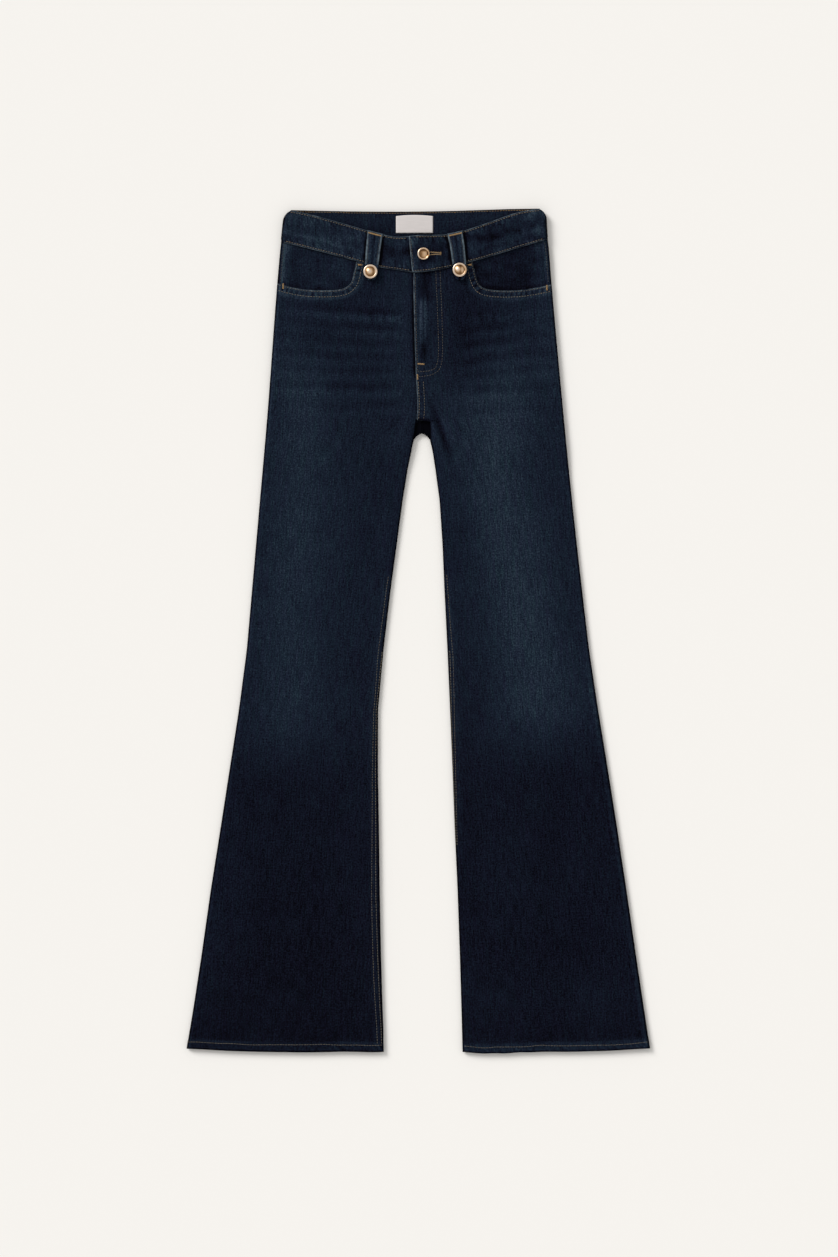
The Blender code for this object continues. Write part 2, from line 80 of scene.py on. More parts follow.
def mesh_object(name, points, faces, material=None):
    """A mesh object from points (n, 3) and faces (m, corners), at the origin."""
    mesh = bpy.data.meshes.new(name)
    faces = np.asarray(faces, np.int32)
    mesh.vertices.add(len(points))
    mesh.vertices.foreach_set("co", np.asarray(points, np.float32).ravel())
    mesh.loops.add(faces.size)
    mesh.loops.foreach_set("vertex_index", faces.ravel())
    mesh.polygons.add(len(faces))
    mesh.polygons.foreach_set("loop_start", np.arange(0, faces.size, faces.shape[1], dtype=np.int32))
    mesh.update(calc_edges=True)
    mesh.shade_smooth()
    made = bpy.data.objects.new(name, mesh)
    bpy.context.scene.collection.objects.link(made)
    if material:
        mesh.materials.append(material)
    return made


def flat_material(name, colour, roughness):
    made = bpy.data.materials.new(name)
    made.use_nodes = True
    shader = made.node_tree.nodes["Principled BSDF"]
    shader.inputs["Base Color"].default_value = (*colour, 1)
    shader.inputs["Roughness"].default_value = roughness
    shader.inputs["Specular IOR Level"].default_value = 0.1
    return made


corners = FLOOR_HALF * np.array([(-1, -1), (1, -1), (1, 1), (-1, 1)])
floor_points = np.column_stack([corners, np.full(4, -FLOOR_DROP)])
floor = mesh_object("floor", floor_points, [(0, 1, 2, 3)], flat_material("floor", FLOOR_COLOUR, 0.9))

middle = [(low + high) / 2 for low, high in zip(*cad_box)]
camera = bpy.data.objects.new("camera", bpy.data.cameras.new("camera"))
camera.data.sensor_fit = "VERTICAL"
camera.data.sensor_height = SENSOR
camera.data.lens = SENSOR * CAMERA_HEIGHT / VIEW_HEIGHT
camera.data.clip_end = 50
camera.location = (middle[0] + CAMERA_SHIFT[0], middle[1] + CAMERA_SHIFT[1], CAMERA_HEIGHT)
bpy.context.scene.collection.objects.link(camera)
bpy.context.scene.camera = camera

lamp = bpy.data.objects.new("lamp", bpy.data.lights.new("lamp", "SUN"))
lamp.data.angle = np.radians(SUN_ANGLE)
lamp.data.energy = SUN_STRENGTH
lamp.location = SUN_FROM
lamp.rotation_euler = (-lamp.location).to_track_quat("-Z", "Y").to_euler()
bpy.context.scene.collection.objects.link(lamp)

world = bpy.data.worlds.new("soft sky")
world.use_nodes = True
world.node_tree.nodes["Background"].inputs["Color"].default_value = (1.0, 1.0, 1.0, 1)
world.node_tree.nodes["Background"].inputs["Strength"].default_value = SKY_STRENGTH
bpy.context.scene.world = world
bpy.context.scene.view_settings.view_transform = "Standard"


# ---- back panels --------------------------------------------------------------------------------
# The two back legs lie face down on the floor, cut from dark indigo twill.  Their outline is read
# from their own solids: the folded side, the inseam, the centre-back seam and the bowed hem.

CLOTH = 1.1 * MM
HEM_FOLD = 1.15 * MM
HEM_DEPTH = 10.0 * MM
# An outline is read at an even step, and runs on beyond its ends as its last few steps do.
LINE_STEP = 1.0 * MM
END_STEPS = 9
# Along the legs: how high the back lies, on its pockets and loops, and the air inside the legs.
STACK_Y = np.array((-561, -500, 200, 250, 440, 500, 561)) * MM
STACK_REST = np.array((0.0, 0.0, 0.0, 1.5, 1.5, 2.7, 2.7)) * MM
STACK_AIR = np.array((3.4, 3.0, 2.6, 2.8, 2.8, 2.8, 2.8)) * MM
ROLL_WIDTH = 9.0 * MM
BACK_COLUMNS = 64
# The grid's rows are level between these two, the inseams part between the next two, and the
# backs make an arch below the crotch.
FAN_WAIST = 0.305
FAN_HEM = -0.500
CROTCH_LOW, CROTCH_HIGH = 0.262, 0.292
ARCH_MIDDLE, ARCH_TOP = 4.9 * MM, 262.3 * MM
ARCH_WIDTH, ARCH_HEIGHT = 11.9 * MM, 9.8 * MM
# The painted distance of cloth that is nowhere near a turned edge.
NO_EDGE = 50 * MM
# Which way along X is outward, for each of the wearer's sides.
OUTWARD = {"right": -1, "left": 1}
HEM_Y = cad_box[0][1]

# The denim's colour as its wear rises; where shade is painted, the value falls below raw cloth.
INDIGO = (
    (0.00, (0.0010, 0.0010, 0.0026)),
    (0.17, (0.0033, 0.0036, 0.0089)),
    (0.40, (0.0051, 0.0074, 0.0158)),
    (0.67, (0.0076, 0.0129, 0.0237)),
    (0.97, (0.0120, 0.0204, 0.0349)),
    (1.45, (0.0290, 0.0460, 0.0640)),
)
RUBBED_EDGE = (0.120, 0.155, 0.180)
TEAL_CAST = (0.90, 1.06, 0.97)
VIOLET_CAST = (1.08, 0.93, 1.04)
TWILL_PITCH = 0.9 * MM
DENIM_ROUGHNESS = 0.88
# The grain follows a leg's middle by this share, and drifts are made from a net of so many knots.
GRAIN_LEAN = 0.8
KNOTS = 61


class Wire:
    """A socket of a material, with arithmetic that adds Math nodes."""

    def __init__(self, finish, socket):
        self.finish = finish
        self.socket = socket

    def math(self, operation, *values):
        return self.finish.node("ShaderNodeMath", {"operation": operation}, dict(enumerate(values)))

    def __add__(self, other):
        return self.math("ADD", self, other)

    def __sub__(self, other):
        return self.math("SUBTRACT", self, other)

    def __rsub__(self, other):
        return self.math("SUBTRACT", other, self)

    def __mul__(self, other):
        return self.math("MULTIPLY", self, other)

    __radd__ = __add__
    __rmul__ = __mul__

    def sine(self):
        return self.math("SINE", self)

    def between(self, low, high):
        """0 at low, 1 at high, and a smooth step between; low may be the larger."""
        settings = {"interpolation_type": "SMOOTHSTEP"}
        values = {"Value": self, "From Min": min(low, high), "From Max": max(low, high)}
        step = self.finish.node("ShaderNodeMapRange", settings, values)
        return 1 - step if low > high else step


class Finish:
    """A material and the one way in which nodes are added to it."""

    def __init__(self, name):
        self.material = bpy.data.materials.new(name)
        self.material.use_nodes = True
        self.tree = self.material.node_tree
        self.shader = self.tree.nodes["Principled BSDF"]

    def node(self, kind, settings=None, values=None, out=0):
        """A node: its settings first, then the values or links of its sockets."""
        made = self.tree.nodes.new(kind)
        settings = dict(settings or {})
        stops = settings.pop("stops", None)
        for name, value in settings.items():
            setattr(made, name, value)
        if stops:
            ramp = made.color_ramp
            for _ in range(len(stops) - 2):
                ramp.elements.new(0.5)
            for element, (place, colour) in zip(ramp.elements, stops):
                element.position = place
                element.color = (*colour, 1)
        for key, value in (values or {}).items():
            self.put(self.socket(made.inputs, key), value)
        return Wire(self, self.socket(made.outputs, out))

    @staticmethod
    def socket(sockets, key):
        usable = [s for s in sockets if s.enabled]
        return usable[key] if isinstance(key, int) else [s for s in usable if s.name == key][0]

    def put(self, socket, value):
        if isinstance(value, Wire):
            self.tree.links.new(value.socket, socket)
        elif socket.type == "RGBA" and len(value) == 3:
            socket.default_value = (*value, 1)
        else:
            socket.default_value = value

    def set(self, **values):
        for name, value in values.items():
            self.put(self.shader.inputs[name.replace("_", " ")], value)

    def mix(self, low, high, share, blend="MIX"):
        settings = {"data_type": "RGBA", "blend_type": blend, "clamp_factor": True}
        return self.node("ShaderNodeMix", settings, {"Factor": share, "A": low, "B": high})

    def painted(self, name):
        return self.node("ShaderNodeAttribute", {"attribute_name": name}, out="Fac")

    def noise(self, place, stretch, detail=2.0, roughness=0.5, dimensions="2D"):
        """Noise from 0 to 1, with so many swells to each metre along each way of the grain."""
        settings = {"operation": "MULTIPLY"}
        scaled = self.node("ShaderNodeVectorMath", settings, {0: place, 1: stretch})
        values = {"Vector": scaled, "Scale": 1.0, "Detail": detail, "Roughness": roughness}
        return self.node("ShaderNodeTexNoise", {"noise_dimensions": dimensions}, values)

    def parts(self, place):
        """The X and the Y of a place."""
        split = self.node("ShaderNodeSeparateXYZ", {}, {0: place})
        return split, Wire(self, split.socket.node.outputs["Y"])

    def ramp(self, stops, share):
        return self.node("ShaderNodeValToRGB", {"stops": stops}, {"Fac": share})

    def bump(self, height, distance, strength):
        values = {"Strength": strength, "Distance": distance, "Height": height}
        return self.node("ShaderNodeBump", {}, values)


def denim_finish():
    """Warp slubs, a faint cross weave, twill lines and cloudy dye, over painted wear and shade.

    Each cloth piece carries its grain as a UV map in metres, and two painted values for every
    point: wear and shade, from raw at 0 to rubbed pale at 1, lowered where shade is painted; and
    edge, the distance in metres to the nearest turned edge, where the indigo rubs off first.
    """
    finish = Finish("denim")
    grain = finish.node("ShaderNodeUVMap", {"uv_map": "grain"})
    wear_shade_layer = finish.painted("wear_shade_layer")
    edge = finish.painted("edge")

    slubs = finish.noise(grain, (560, 42, 1), detail=3, roughness=0.62)
    fine = finish.noise(grain, (1300, 170, 1), detail=2, roughness=0.6)
    cross = finish.noise(grain, (110, 620, 1), detail=2, roughness=0.6)
    cloud = finish.noise(grain, (45, 30, 1), detail=4, roughness=0.6)
    speck = finish.noise(grain, (540, 490, 1), detail=2, roughness=0.7)
    hue = finish.noise(grain, (300, 20, 1), detail=3, roughness=0.6)

    across, along = finish.parts(grain)
    turn = 2 * np.pi / TWILL_PITCH
    twill = (across * turn + along * (turn * 0.62)).sine()

    weave = (slubs - 0.5) * 0.62 + (fine - 0.5) * 0.50 + (cross - 0.5) * 0.26 + (speck - 0.5) * 1.08
    weave = weave + (cloud - 0.5) * 0.16 + twill * 0.03
    wear_and_shade = wear_shade_layer + weave * (wear_shade_layer * 0.95 + 1.0)

    top = INDIGO[-1][0]
    base = finish.ramp([(place / top, colour) for place, colour in INDIGO], wear_and_shade * (1 / top))
    cast = finish.mix(VIOLET_CAST, TEAL_CAST, (hue - 0.5) * 2.2 + 0.5)
    base = finish.mix(base, cast, 1.0, "MULTIPLY")

    ragged = edge + (fine - 0.5) * (1.6 * MM) + (slubs - 0.5) * (0.9 * MM)
    chips = finish.noise(grain, (170, 150, 1), detail=3, roughness=0.65)
    rub = ragged.between(1.9 * MM, 0.3 * MM) * ((cloud - 0.5) * 1.1 + (chips - 0.5) * 1.8 + 0.62)
    colour = finish.mix(base, RUBBED_EDGE, rub)

    relief = (slubs - 0.5) * 0.5 + (cross - 0.5) * 0.3 + (fine - 0.5) * 0.4 + twill * 0.35
    finish.set(Base_Color=colour, Normal=finish.bump(relief, 0.25 * MM, 0.35))
    finish.set(Roughness=DENIM_ROUGHNESS, Specular_IOR_Level=0.03)
    return finish.material


denim = denim_finish()


def ease(x):
    """0 below 0, 1 above 1, and a smooth step between."""
    x = np.clip(x, 0, 1)
    return x * x * (3 - 2 * x)


def swell(x, half_width=1.0):
    """A bell: 1 at x = 0, and falling off over half_width."""
    return np.exp(-((x / half_width) ** 2))


def eased(at, known, values):
    """Values that ease from each known place to the next."""
    i = np.clip(np.searchsorted(known, at) - 1, 0, len(known) - 2)
    share = ease((at - known[i]) / (known[i + 1] - known[i]))
    return values[i] + (values[i + 1] - values[i]) * share


def round_off(distance, width):
    """0 at a folded edge and 1 beyond width, along a rounded curve: a superellipse's quarter."""
    share = np.clip(distance / width, 0, 1)
    return (1 - (1 - share) ** 2.3) ** (1 / 2.3)


def drift(x, y, size, seed, tall=1.0):
    """Smooth noise from -1 to 1: random values at a net's knots, eased between them."""
    net = np.random.default_rng(seed).uniform(-1, 1, (KNOTS, KNOTS))
    u, v = x / size + 500.3, y / (size * tall) + 500.7
    i, j = np.floor(u).astype(int), np.floor(v).astype(int)
    s, t = ease(u - i), ease(v - j)
    i, j, k, m = i % KNOTS, j % KNOTS, (i + 1) % KNOTS, (j + 1) % KNOTS
    return (net[i, j] * (1 - s) + net[k, j] * s) * (1 - t) + (net[i, m] * (1 - s) + net[k, m] * s) * t


def puckers(run, length, x, y, wander, size, seed, uneven=0.0, uneven_size=1.0):
    """Small waves along a run: the sine of run / length, its phase wandering by a drift.

    Where they are uneven, their strength is 1 - uneven, plus uneven times another drift.  The
    length and the drifts' sizes are in millimetres.
    """
    wave = np.sin(run / (length * MM) + wander * drift(x, y, size * MM, seed))
    if uneven:
        wave = wave * (1 - uneven + uneven * drift(x, y, uneven_size * MM, seed + 1))
    return wave


def triangles(*names):
    """The corners of the CAD nodes' triangles, as an array (n, 3, 3)."""
    found = []
    for name in names:
        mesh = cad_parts[name].data
        mesh.calc_loop_triangles()
        points = np.empty(3 * len(mesh.vertices))
        index = np.empty(3 * len(mesh.loop_triangles), np.int32)
        mesh.vertices.foreach_get("co", points)
        mesh.loop_triangles.foreach_get("vertices", index)
        found.append(points.reshape(-1, 3)[index.reshape(-1, 3)])
    return np.concatenate(found)


def reach(names, at, axis):
    """The least and the most that the nodes reach along axis, where the other way is `at`."""
    start = triangles(*names)[..., :2]
    end = np.roll(start, -1, axis=1).reshape(-1, 2)
    start = start.reshape(-1, 2)
    rise = end[:, 1 - axis] - start[:, 1 - axis]
    sloped = abs(rise) > 1e-7
    start, end, rise = start[sloped], end[sloped], rise[sloped]
    share = (at[:, None] - start[:, 1 - axis]) / rise
    place = start[:, axis] + share * (end[:, axis] - start[:, axis])
    crossed = (share >= 0) & (share <= 1)
    return np.where(crossed, place, np.inf).min(1), np.where(crossed, place, -np.inf).max(1)


def blurred(values, sigma):
    """Values blurred along an even step, with their ends carried on so that they stay put."""
    n = int(3 * sigma / LINE_STEP)
    kernel = swell(np.arange(-n, n + 1) * LINE_STEP, sigma * np.sqrt(2))
    head = 2 * values[0] - values[n:0:-1]
    tail = 2 * values[-1] - values[-2 : -n - 2 : -1]
    return np.convolve(np.concatenate([head, values, tail]), kernel / kernel.sum(), "valid")


def read_line(names, axis, highest, low, high, sigma):
    """A smooth line along the nodes' edge, as a function of the other coordinate.

    It runs straight on beyond its ends.
    """
    at = np.arange(low, high, LINE_STEP)
    found = reach(names, at, axis)[1 if highest else 0]
    at, found = at[np.isfinite(found)], found[np.isfinite(found)]
    smooth = blurred(found, sigma)
    run = END_STEPS * LINE_STEP
    first, last = smooth[END_STEPS] - smooth[0], smooth[-1] - smooth[-1 - END_STEPS]

    def line(x):
        before = np.minimum(x - at[0], 0) * first / run
        after = np.maximum(x - at[-1], 0) * last / run
        return np.interp(x, at, smooth) + before + after

    return line


# How far the sewn edges lie off their solids' edges: a place along the edge in metres, and
# millimetres up for a hem, towards +X for a side or an inseam.
HEM_SAG = {
    "right": np.array(((-0.308, 0.6), (-0.200, 1.1), (-0.110, 0.0), (-0.046, -4.0))),
    "left": np.array((
        (0.060, -4.3), (0.082, -4.5), (0.109, -2.7), (0.140, 0.0), (0.170, 1.5), (0.308, 0.9),
    )),
}
LEFT_SIDE_EASE = np.array((
    (-0.55, 0.3), (-0.35, 0.4), (-0.13, 1.1), (0.30, 1.5), (0.50, 1.3), (0.545, -0.2),
))
INSEAM_EASE = {
    "right": np.array(((-0.56, 0.0), (-0.52, 0.8), (0.20, 0.8), (0.255, 0.0))),
    "left": np.array(((-0.56, -0.7), (0.20, -0.7), (0.255, 0.0))),
}


def moved(line, ease_by):
    """A line with its ease added, from place to place."""
    return lambda at: line(at) + eased(at, ease_by[:, 0], ease_by[:, 1]) * MM


def arched(line, side):
    """An inner line that meets its twin above the crotch and opens below it into a round arch.

    The arch is a power of the drop below its top.
    """
    out = OUTWARD[side]
    widest = np.minimum if side == "right" else np.maximum

    def inner(y):
        arch = ARCH_WIDTH * np.clip((ARCH_TOP - y) / ARCH_HEIGHT, 0, 1) ** 0.56
        meet = ease((y - 0.300) / 0.015)
        above = ARCH_MIDDLE + (line(y) - ARCH_MIDDLE) * meet
        return np.where(y > ARCH_TOP, above, widest(line(y), ARCH_MIDDLE + out * arch))

    return inner


side_line, back_inner, hem_line = {}, {}, {}
for side in OUTWARD:
    on_left = side == "left"
    back = (f"back_panel_{side}", f"back_yoke_{side}")
    low, high = (corner.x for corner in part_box(back[0]))
    hem_low, hem_high = (high - 0.24, high - 4 * MM) if on_left else (low + 4 * MM, low + 0.24)
    side_line[side] = read_line((*back, "waistband_back"), 0, on_left, HEM_Y + 6 * MM, 0.540, 7 * MM)
    inseam = read_line(back, 0, not on_left, HEM_Y + 6 * MM, 0.513, 3 * MM)
    back_inner[side] = arched(moved(inseam, INSEAM_EASE[side]), side)
    hem_line[side] = moved(read_line(back[:1], 1, False, hem_low, hem_high, 8 * MM), HEM_SAG[side])
side_line["left"] = moved(side_line["left"], LEFT_SIDE_EASE)
waist_low, waist_high = (corner.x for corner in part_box("waistband_back"))
yokes = ("back_yoke_right", "back_yoke_left")
yoke_seam = read_line(yokes, 1, False, waist_low + MM, waist_high - MM, 3 * MM)
back_seam = read_line(("waistband_back",), 1, False, waist_low + 4 * MM, waist_high - 4 * MM, 7 * MM)


def seam_height(y):
    """The height of the folded sides and inseams: the middle of the air between the layers."""
    return eased(y, STACK_Y, STACK_REST) + 1.2 * MM + eased(y, STACK_Y, STACK_AIR) / 2


def crowded(count, crowd):
    """Shares from 0 to 1 that crowd towards both ends: t less a sine wave."""
    t = np.linspace(0, 1, count)
    return t - crowd * np.sin(2 * np.pi * t) / (2 * np.pi)


def leg_grid(side, inner, rows, count, top):
    """x and y of a leg's points: level rows that turn into the hem's bow and the top line."""
    share = crowded(count, 0.7)
    if side == "left":
        low, high = inner, side_line[side]
    else:
        low, high = side_line[side], inner
    level = rows[:, None] + 0 * share
    fan = ease((level - FAN_WAIST) / (level[-1] - FAN_WAIST))
    bow = ease((FAN_HEM - level) / (FAN_HEM - HEM_Y))
    y = level
    for _ in range(4):
        x = low(y) + (high(y) - low(y)) * share
        y = level + fan * (top(x) - level[-1]) + bow * (hem_line[side](x) - HEM_Y)
    return x, y


def hemmed(x, y, z, facing, depth):
    """The rows that carry the cloth round the hem's fold and up inside, put before the others.

    A half circle of the fold's radius, and then a flat run; it thins where the leg's edges do.
    """
    angle = np.linspace(1, 0, 6)[:, None] * np.pi
    inside = np.array((HEM_DEPTH, 0.5 * HEM_DEPTH))[:, None]
    above = np.argmin(abs(y.mean(1) - y[0].mean() - HEM_DEPTH))
    taper = np.concatenate([inside / HEM_DEPTH, 0 * angle[:-1]]) * (x[above] - x[0])
    run = np.concatenate([inside, -HEM_FOLD * np.sin(angle[:-1])])
    fall = np.concatenate([0 * inside + 2, 1 - np.cos(angle[:-1])]) * HEM_FOLD
    fall = fall * np.clip(depth / (2.2 * MM), 0.05, 1)
    length = np.concatenate([-HEM_DEPTH - inside, -HEM_FOLD * angle[:-1]]) + 0 * x[0]
    new_y = y[0] + HEM_FOLD + run
    new = (x[0] + taper, new_y, z[0] - facing * fall)
    body = (x, y, z)
    body[1][0] = y[0] + HEM_FOLD
    grain_y = np.concatenate([y[0] + HEM_FOLD + length, body[1]])
    return [np.concatenate(pair) for pair in zip(new, body)] + [grain_y]


def paint(made, word, values):
    """Give every point of a piece a value, under a word that its material reads."""
    layer = made.data.attributes.new(word, "FLOAT", "POINT")
    layer.data.foreach_set("value", values.astype(np.float32))


def lay_map(made, word, places, faces):
    """Give a piece a UV map in metres, from a place for each of its points."""
    layer = made.data.uv_layers.new(name=word)
    layer.uv.foreach_set("vector", places[faces].astype(np.float32).ravel())


def cloth(name, x, y, z, wear_and_shade, edge, keep=None, facing=1, thickness=CLOTH, grain=None):
    """A piece of denim: its outer face is the grid (x, y, z), and a wall goes in from it.

    facing is 1 for a face that looks up and -1 for one that looks down.  keep says which of the
    grid's faces are cloth.
    """
    rows, count = x.shape
    index = np.arange(rows * count).reshape(rows, count)
    faces = np.stack([index[:-1, :-1], index[:-1, 1:], index[1:, 1:], index[1:, :-1]], -1)
    faces = faces[np.ones((rows - 1, count - 1), bool) if keep is None else keep]
    if facing < 0:
        faces = faces[:, ::-1]
    used, faces = np.unique(faces, return_inverse=True)
    faces = faces.reshape(-1, 4)
    points = np.stack([x, y, z], -1).reshape(-1, 3)[used]
    made = mesh_object(f"{name}_cloth", points, faces, denim)
    grain = np.stack([x, y], -1) if grain is None else np.stack(grain, -1)
    lay_map(made, "grain", grain.reshape(-1, 2)[used], faces)
    paint(made, "wear_shade_layer", (wear_and_shade + 0 * x).ravel()[used])
    paint(made, "edge", (edge + 0 * x).ravel()[used])
    wall = made.modifiers.new("wall", "SOLIDIFY")
    wall.thickness = thickness
    wall.offset = -1
    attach(made, "root")
    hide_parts(name)
    return made


def leg_rows(fine_above, fine, coarse, top, hem_step):
    """The levels of a leg's rows: close at the hem and crotch, wide down the leg, finer at the hip."""
    hem = np.arange(HEM_Y, HEM_Y + 14 * MM, hem_step)
    leg = np.linspace(hem[-1] + hem_step, fine_above, int((fine_above - hem[-1]) / coarse))
    hip = np.linspace(fine_above, top, int((top - fine_above) / fine))
    crotch = np.arange(0.2505, 0.2845, 0.8 * MM)
    rows = np.concatenate([hem, leg, hip[1:]])
    rows = rows[(rows < crotch[0] - 0.8 * MM) | (rows > crotch[-1] + 0.8 * MM)]
    return np.sort(np.concatenate([rows, crotch]))


def back_surface(side, x, y):
    """Height, wear with painted shade, and edge of the back: flat on what it rests on, rolled up to its
    seams.
    """
    outer = abs(x - side_line[side](y))
    inner = abs(x - back_inner[side](y))
    rest = eased(y, STACK_Y, STACK_REST)
    seam = seam_height(y) - 0.15 * MM
    in_leg = 1 - ease((y - CROTCH_LOW) / (CROTCH_HIGH - CROTCH_LOW))
    flat = round_off(outer, ROLL_WIDTH) * (1 - in_leg * (1 - round_off(inner, ROLL_WIDTH)))
    ribs = puckers(y, 1.3, x, y, 3, 30, 3) * swell(inner - 6 * MM, 5 * MM)
    height = seam + (rest - seam + 0.12 * MM * ribs) * flat
    across = (x - side_line[side](y)) / (back_inner[side](y) - side_line[side](y))
    seat = swell(across - 0.5, 0.33) * swell(y - 0.33, 0.15)
    thigh = swell(across - 0.45, 0.30) * ease((y + 0.20) / 0.14) * ease((0.30 - y) / 0.1)
    calf = swell(across - 0.5, 0.3) * swell(y + 0.33, 0.14)
    wear_and_shade = 0.27 + 0.12 * ease((y + 0.25) / 0.2) + 0.40 * seat + 0.25 * thigh - 0.10 * calf
    # Painted shade darkens the rolled side fold, and the back in the crotch's arch.
    wear_and_shade = wear_and_shade + 0.05 * drift(x, y, 45 * MM, 5, 1.6) + 0.10 * ribs - 0.5 * swell(outer, 1.9 * MM)
    wear_and_shade = wear_and_shade - 0.9 * swell(np.hypot((x - ARCH_MIDDLE) * 0.8, y - ARCH_TOP - 4 * MM), 17 * MM)
    return height, wear_and_shade, NO_EDGE + 0 * x


def carried(values, more):
    """The values of a grid, with its first row's carried on to the rows put before it."""
    return np.pad(values, ((more, 0), (0, 0)), mode="edge")


for side in OUTWARD:
    rows = leg_rows(fine_above=0.24, fine=4 * MM, coarse=6 * MM, top=0.47, hem_step=2.2 * MM)
    x, y = leg_grid(side, back_inner[side], rows, BACK_COLUMNS, lambda x: yoke_seam(x) - 0.5 * MM)
    z, wear_and_shade, edge = back_surface(side, x, y)
    x, y, z, grain_y = hemmed(x, y, z, -1, seam_height(y[0]) - z[0])
    wear_and_shade, edge = carried(wear_and_shade, len(x) - len(wear_and_shade)), carried(edge, len(x) - len(edge))
    middle_line = (side_line[side](y) + back_inner[side](y)) / 2
    grain = (x - GRAIN_LEAN * middle_line, grain_y)
    panel = cloth(f"back_panel_{side}", x, y, z, wear_and_shade, edge, facing=-1, grain=grain)


# ---- topstitching of the back -------------------------------------------------------------------
# Gold polyester thread, a twisted pair of plies, sewn in rows of short stitches.  Each stitch lies
# on the cloth and dips into it at its two ends; a bar tack is a packed row of them, laid across.

# The thread's colour as its tone rises: worn down to the cloth, faded to olive, and bright gold.
THREAD = (
    (0.00, (0.016, 0.016, 0.019)),
    (0.70, (0.220, 0.190, 0.140)),
    (1.00, (0.360, 0.215, 0.085)),
)
THREAD_WIDTH = 0.60 * MM
STITCH_LENGTH = 2.5 * MM
STITCH_PITCH = 3.6 * MM
STITCH_RISE = 0.16 * MM
TACK_PITCH = 0.6 * MM
TACK_WIDTH = 2.2 * MM
PLY_PITCH = 0.7 * MM
TUBE_SIDES = 5
# How far the pairs of rows lie from the centre-back seam, and from a patch's or a yoke's edge.
SEAT_ROWS = (3.5 * MM, 9.5 * MM)
PATCH_ROWS = (2.5 * MM, 8.5 * MM)
# Along one stitch: how far, how thick and how high, as shares of its length, width and width.
STITCH_ALONG = np.array((-0.50, -0.44, -0.18, 0.18, 0.44, 0.50))
STITCH_THICK = np.array((0.0, 0.75, 1.0, 1.0, 0.75, 0.0))
STITCH_HIGH = np.array((-0.75, -0.20, 0.06, 0.06, -0.20, -0.75))


def thread_finish():
    """Gold thread that varies from stitch to stitch, with the slanting twist of its plies."""
    finish = Finish("topstitch")
    place = finish.node("ShaderNodeUVMap", {"uv_map": "thread"})
    tone = finish.painted("tone")
    run, round_it = finish.parts(place)
    ply = (run * (2 * np.pi / PLY_PITCH) + round_it * (2 * np.pi)).sine()
    fuzz = finish.noise(place, (4000, 3, 1))
    shade = tone * ((ply + 1) * 0.13 + 0.72 + (fuzz - 0.5) * 0.3)
    finish.set(Base_Color=finish.ramp(THREAD, shade), Normal=finish.bump(ply, 0.08 * MM, 0.5))
    finish.set(Roughness=0.55, Specular_IOR_Level=0.25)
    return finish.material


topstitch = thread_finish()


def row(path, height, tone=1.0, pitch=STITCH_PITCH, length=STITCH_LENGTH, crosswise=False):
    """The two ends of each stitch of a row: points at an even pitch along the path, on the cloth."""
    path = np.asarray(path, float)
    far = np.concatenate([[0], np.cumsum(np.hypot(*np.diff(path, axis=0).T))])
    at = np.arange(pitch / 2, far[-1], pitch)

    def read(s):
        return np.stack([np.interp(s, far, path[:, 0]), np.interp(s, far, path[:, 1])], -1)

    middle, run = read(at), read(at + 0.4 * pitch) - read(at - 0.4 * pitch)
    run = run / np.hypot(*run.T)[:, None]
    if crosswise:
        run = run[:, ::-1] * (-1, 1)
    ends = [middle - run * length / 2, middle + run * length / 2]
    return [np.column_stack([end, height(*end.T)]) for end in ends] + [np.full(len(at), tone)]


def tack(start, end, height, width=TACK_WIDTH):
    """A bar tack from start to end: short stitches laid across it, side by side."""
    return row([start, end], height, 1.35, TACK_PITCH, width, crosswise=True)


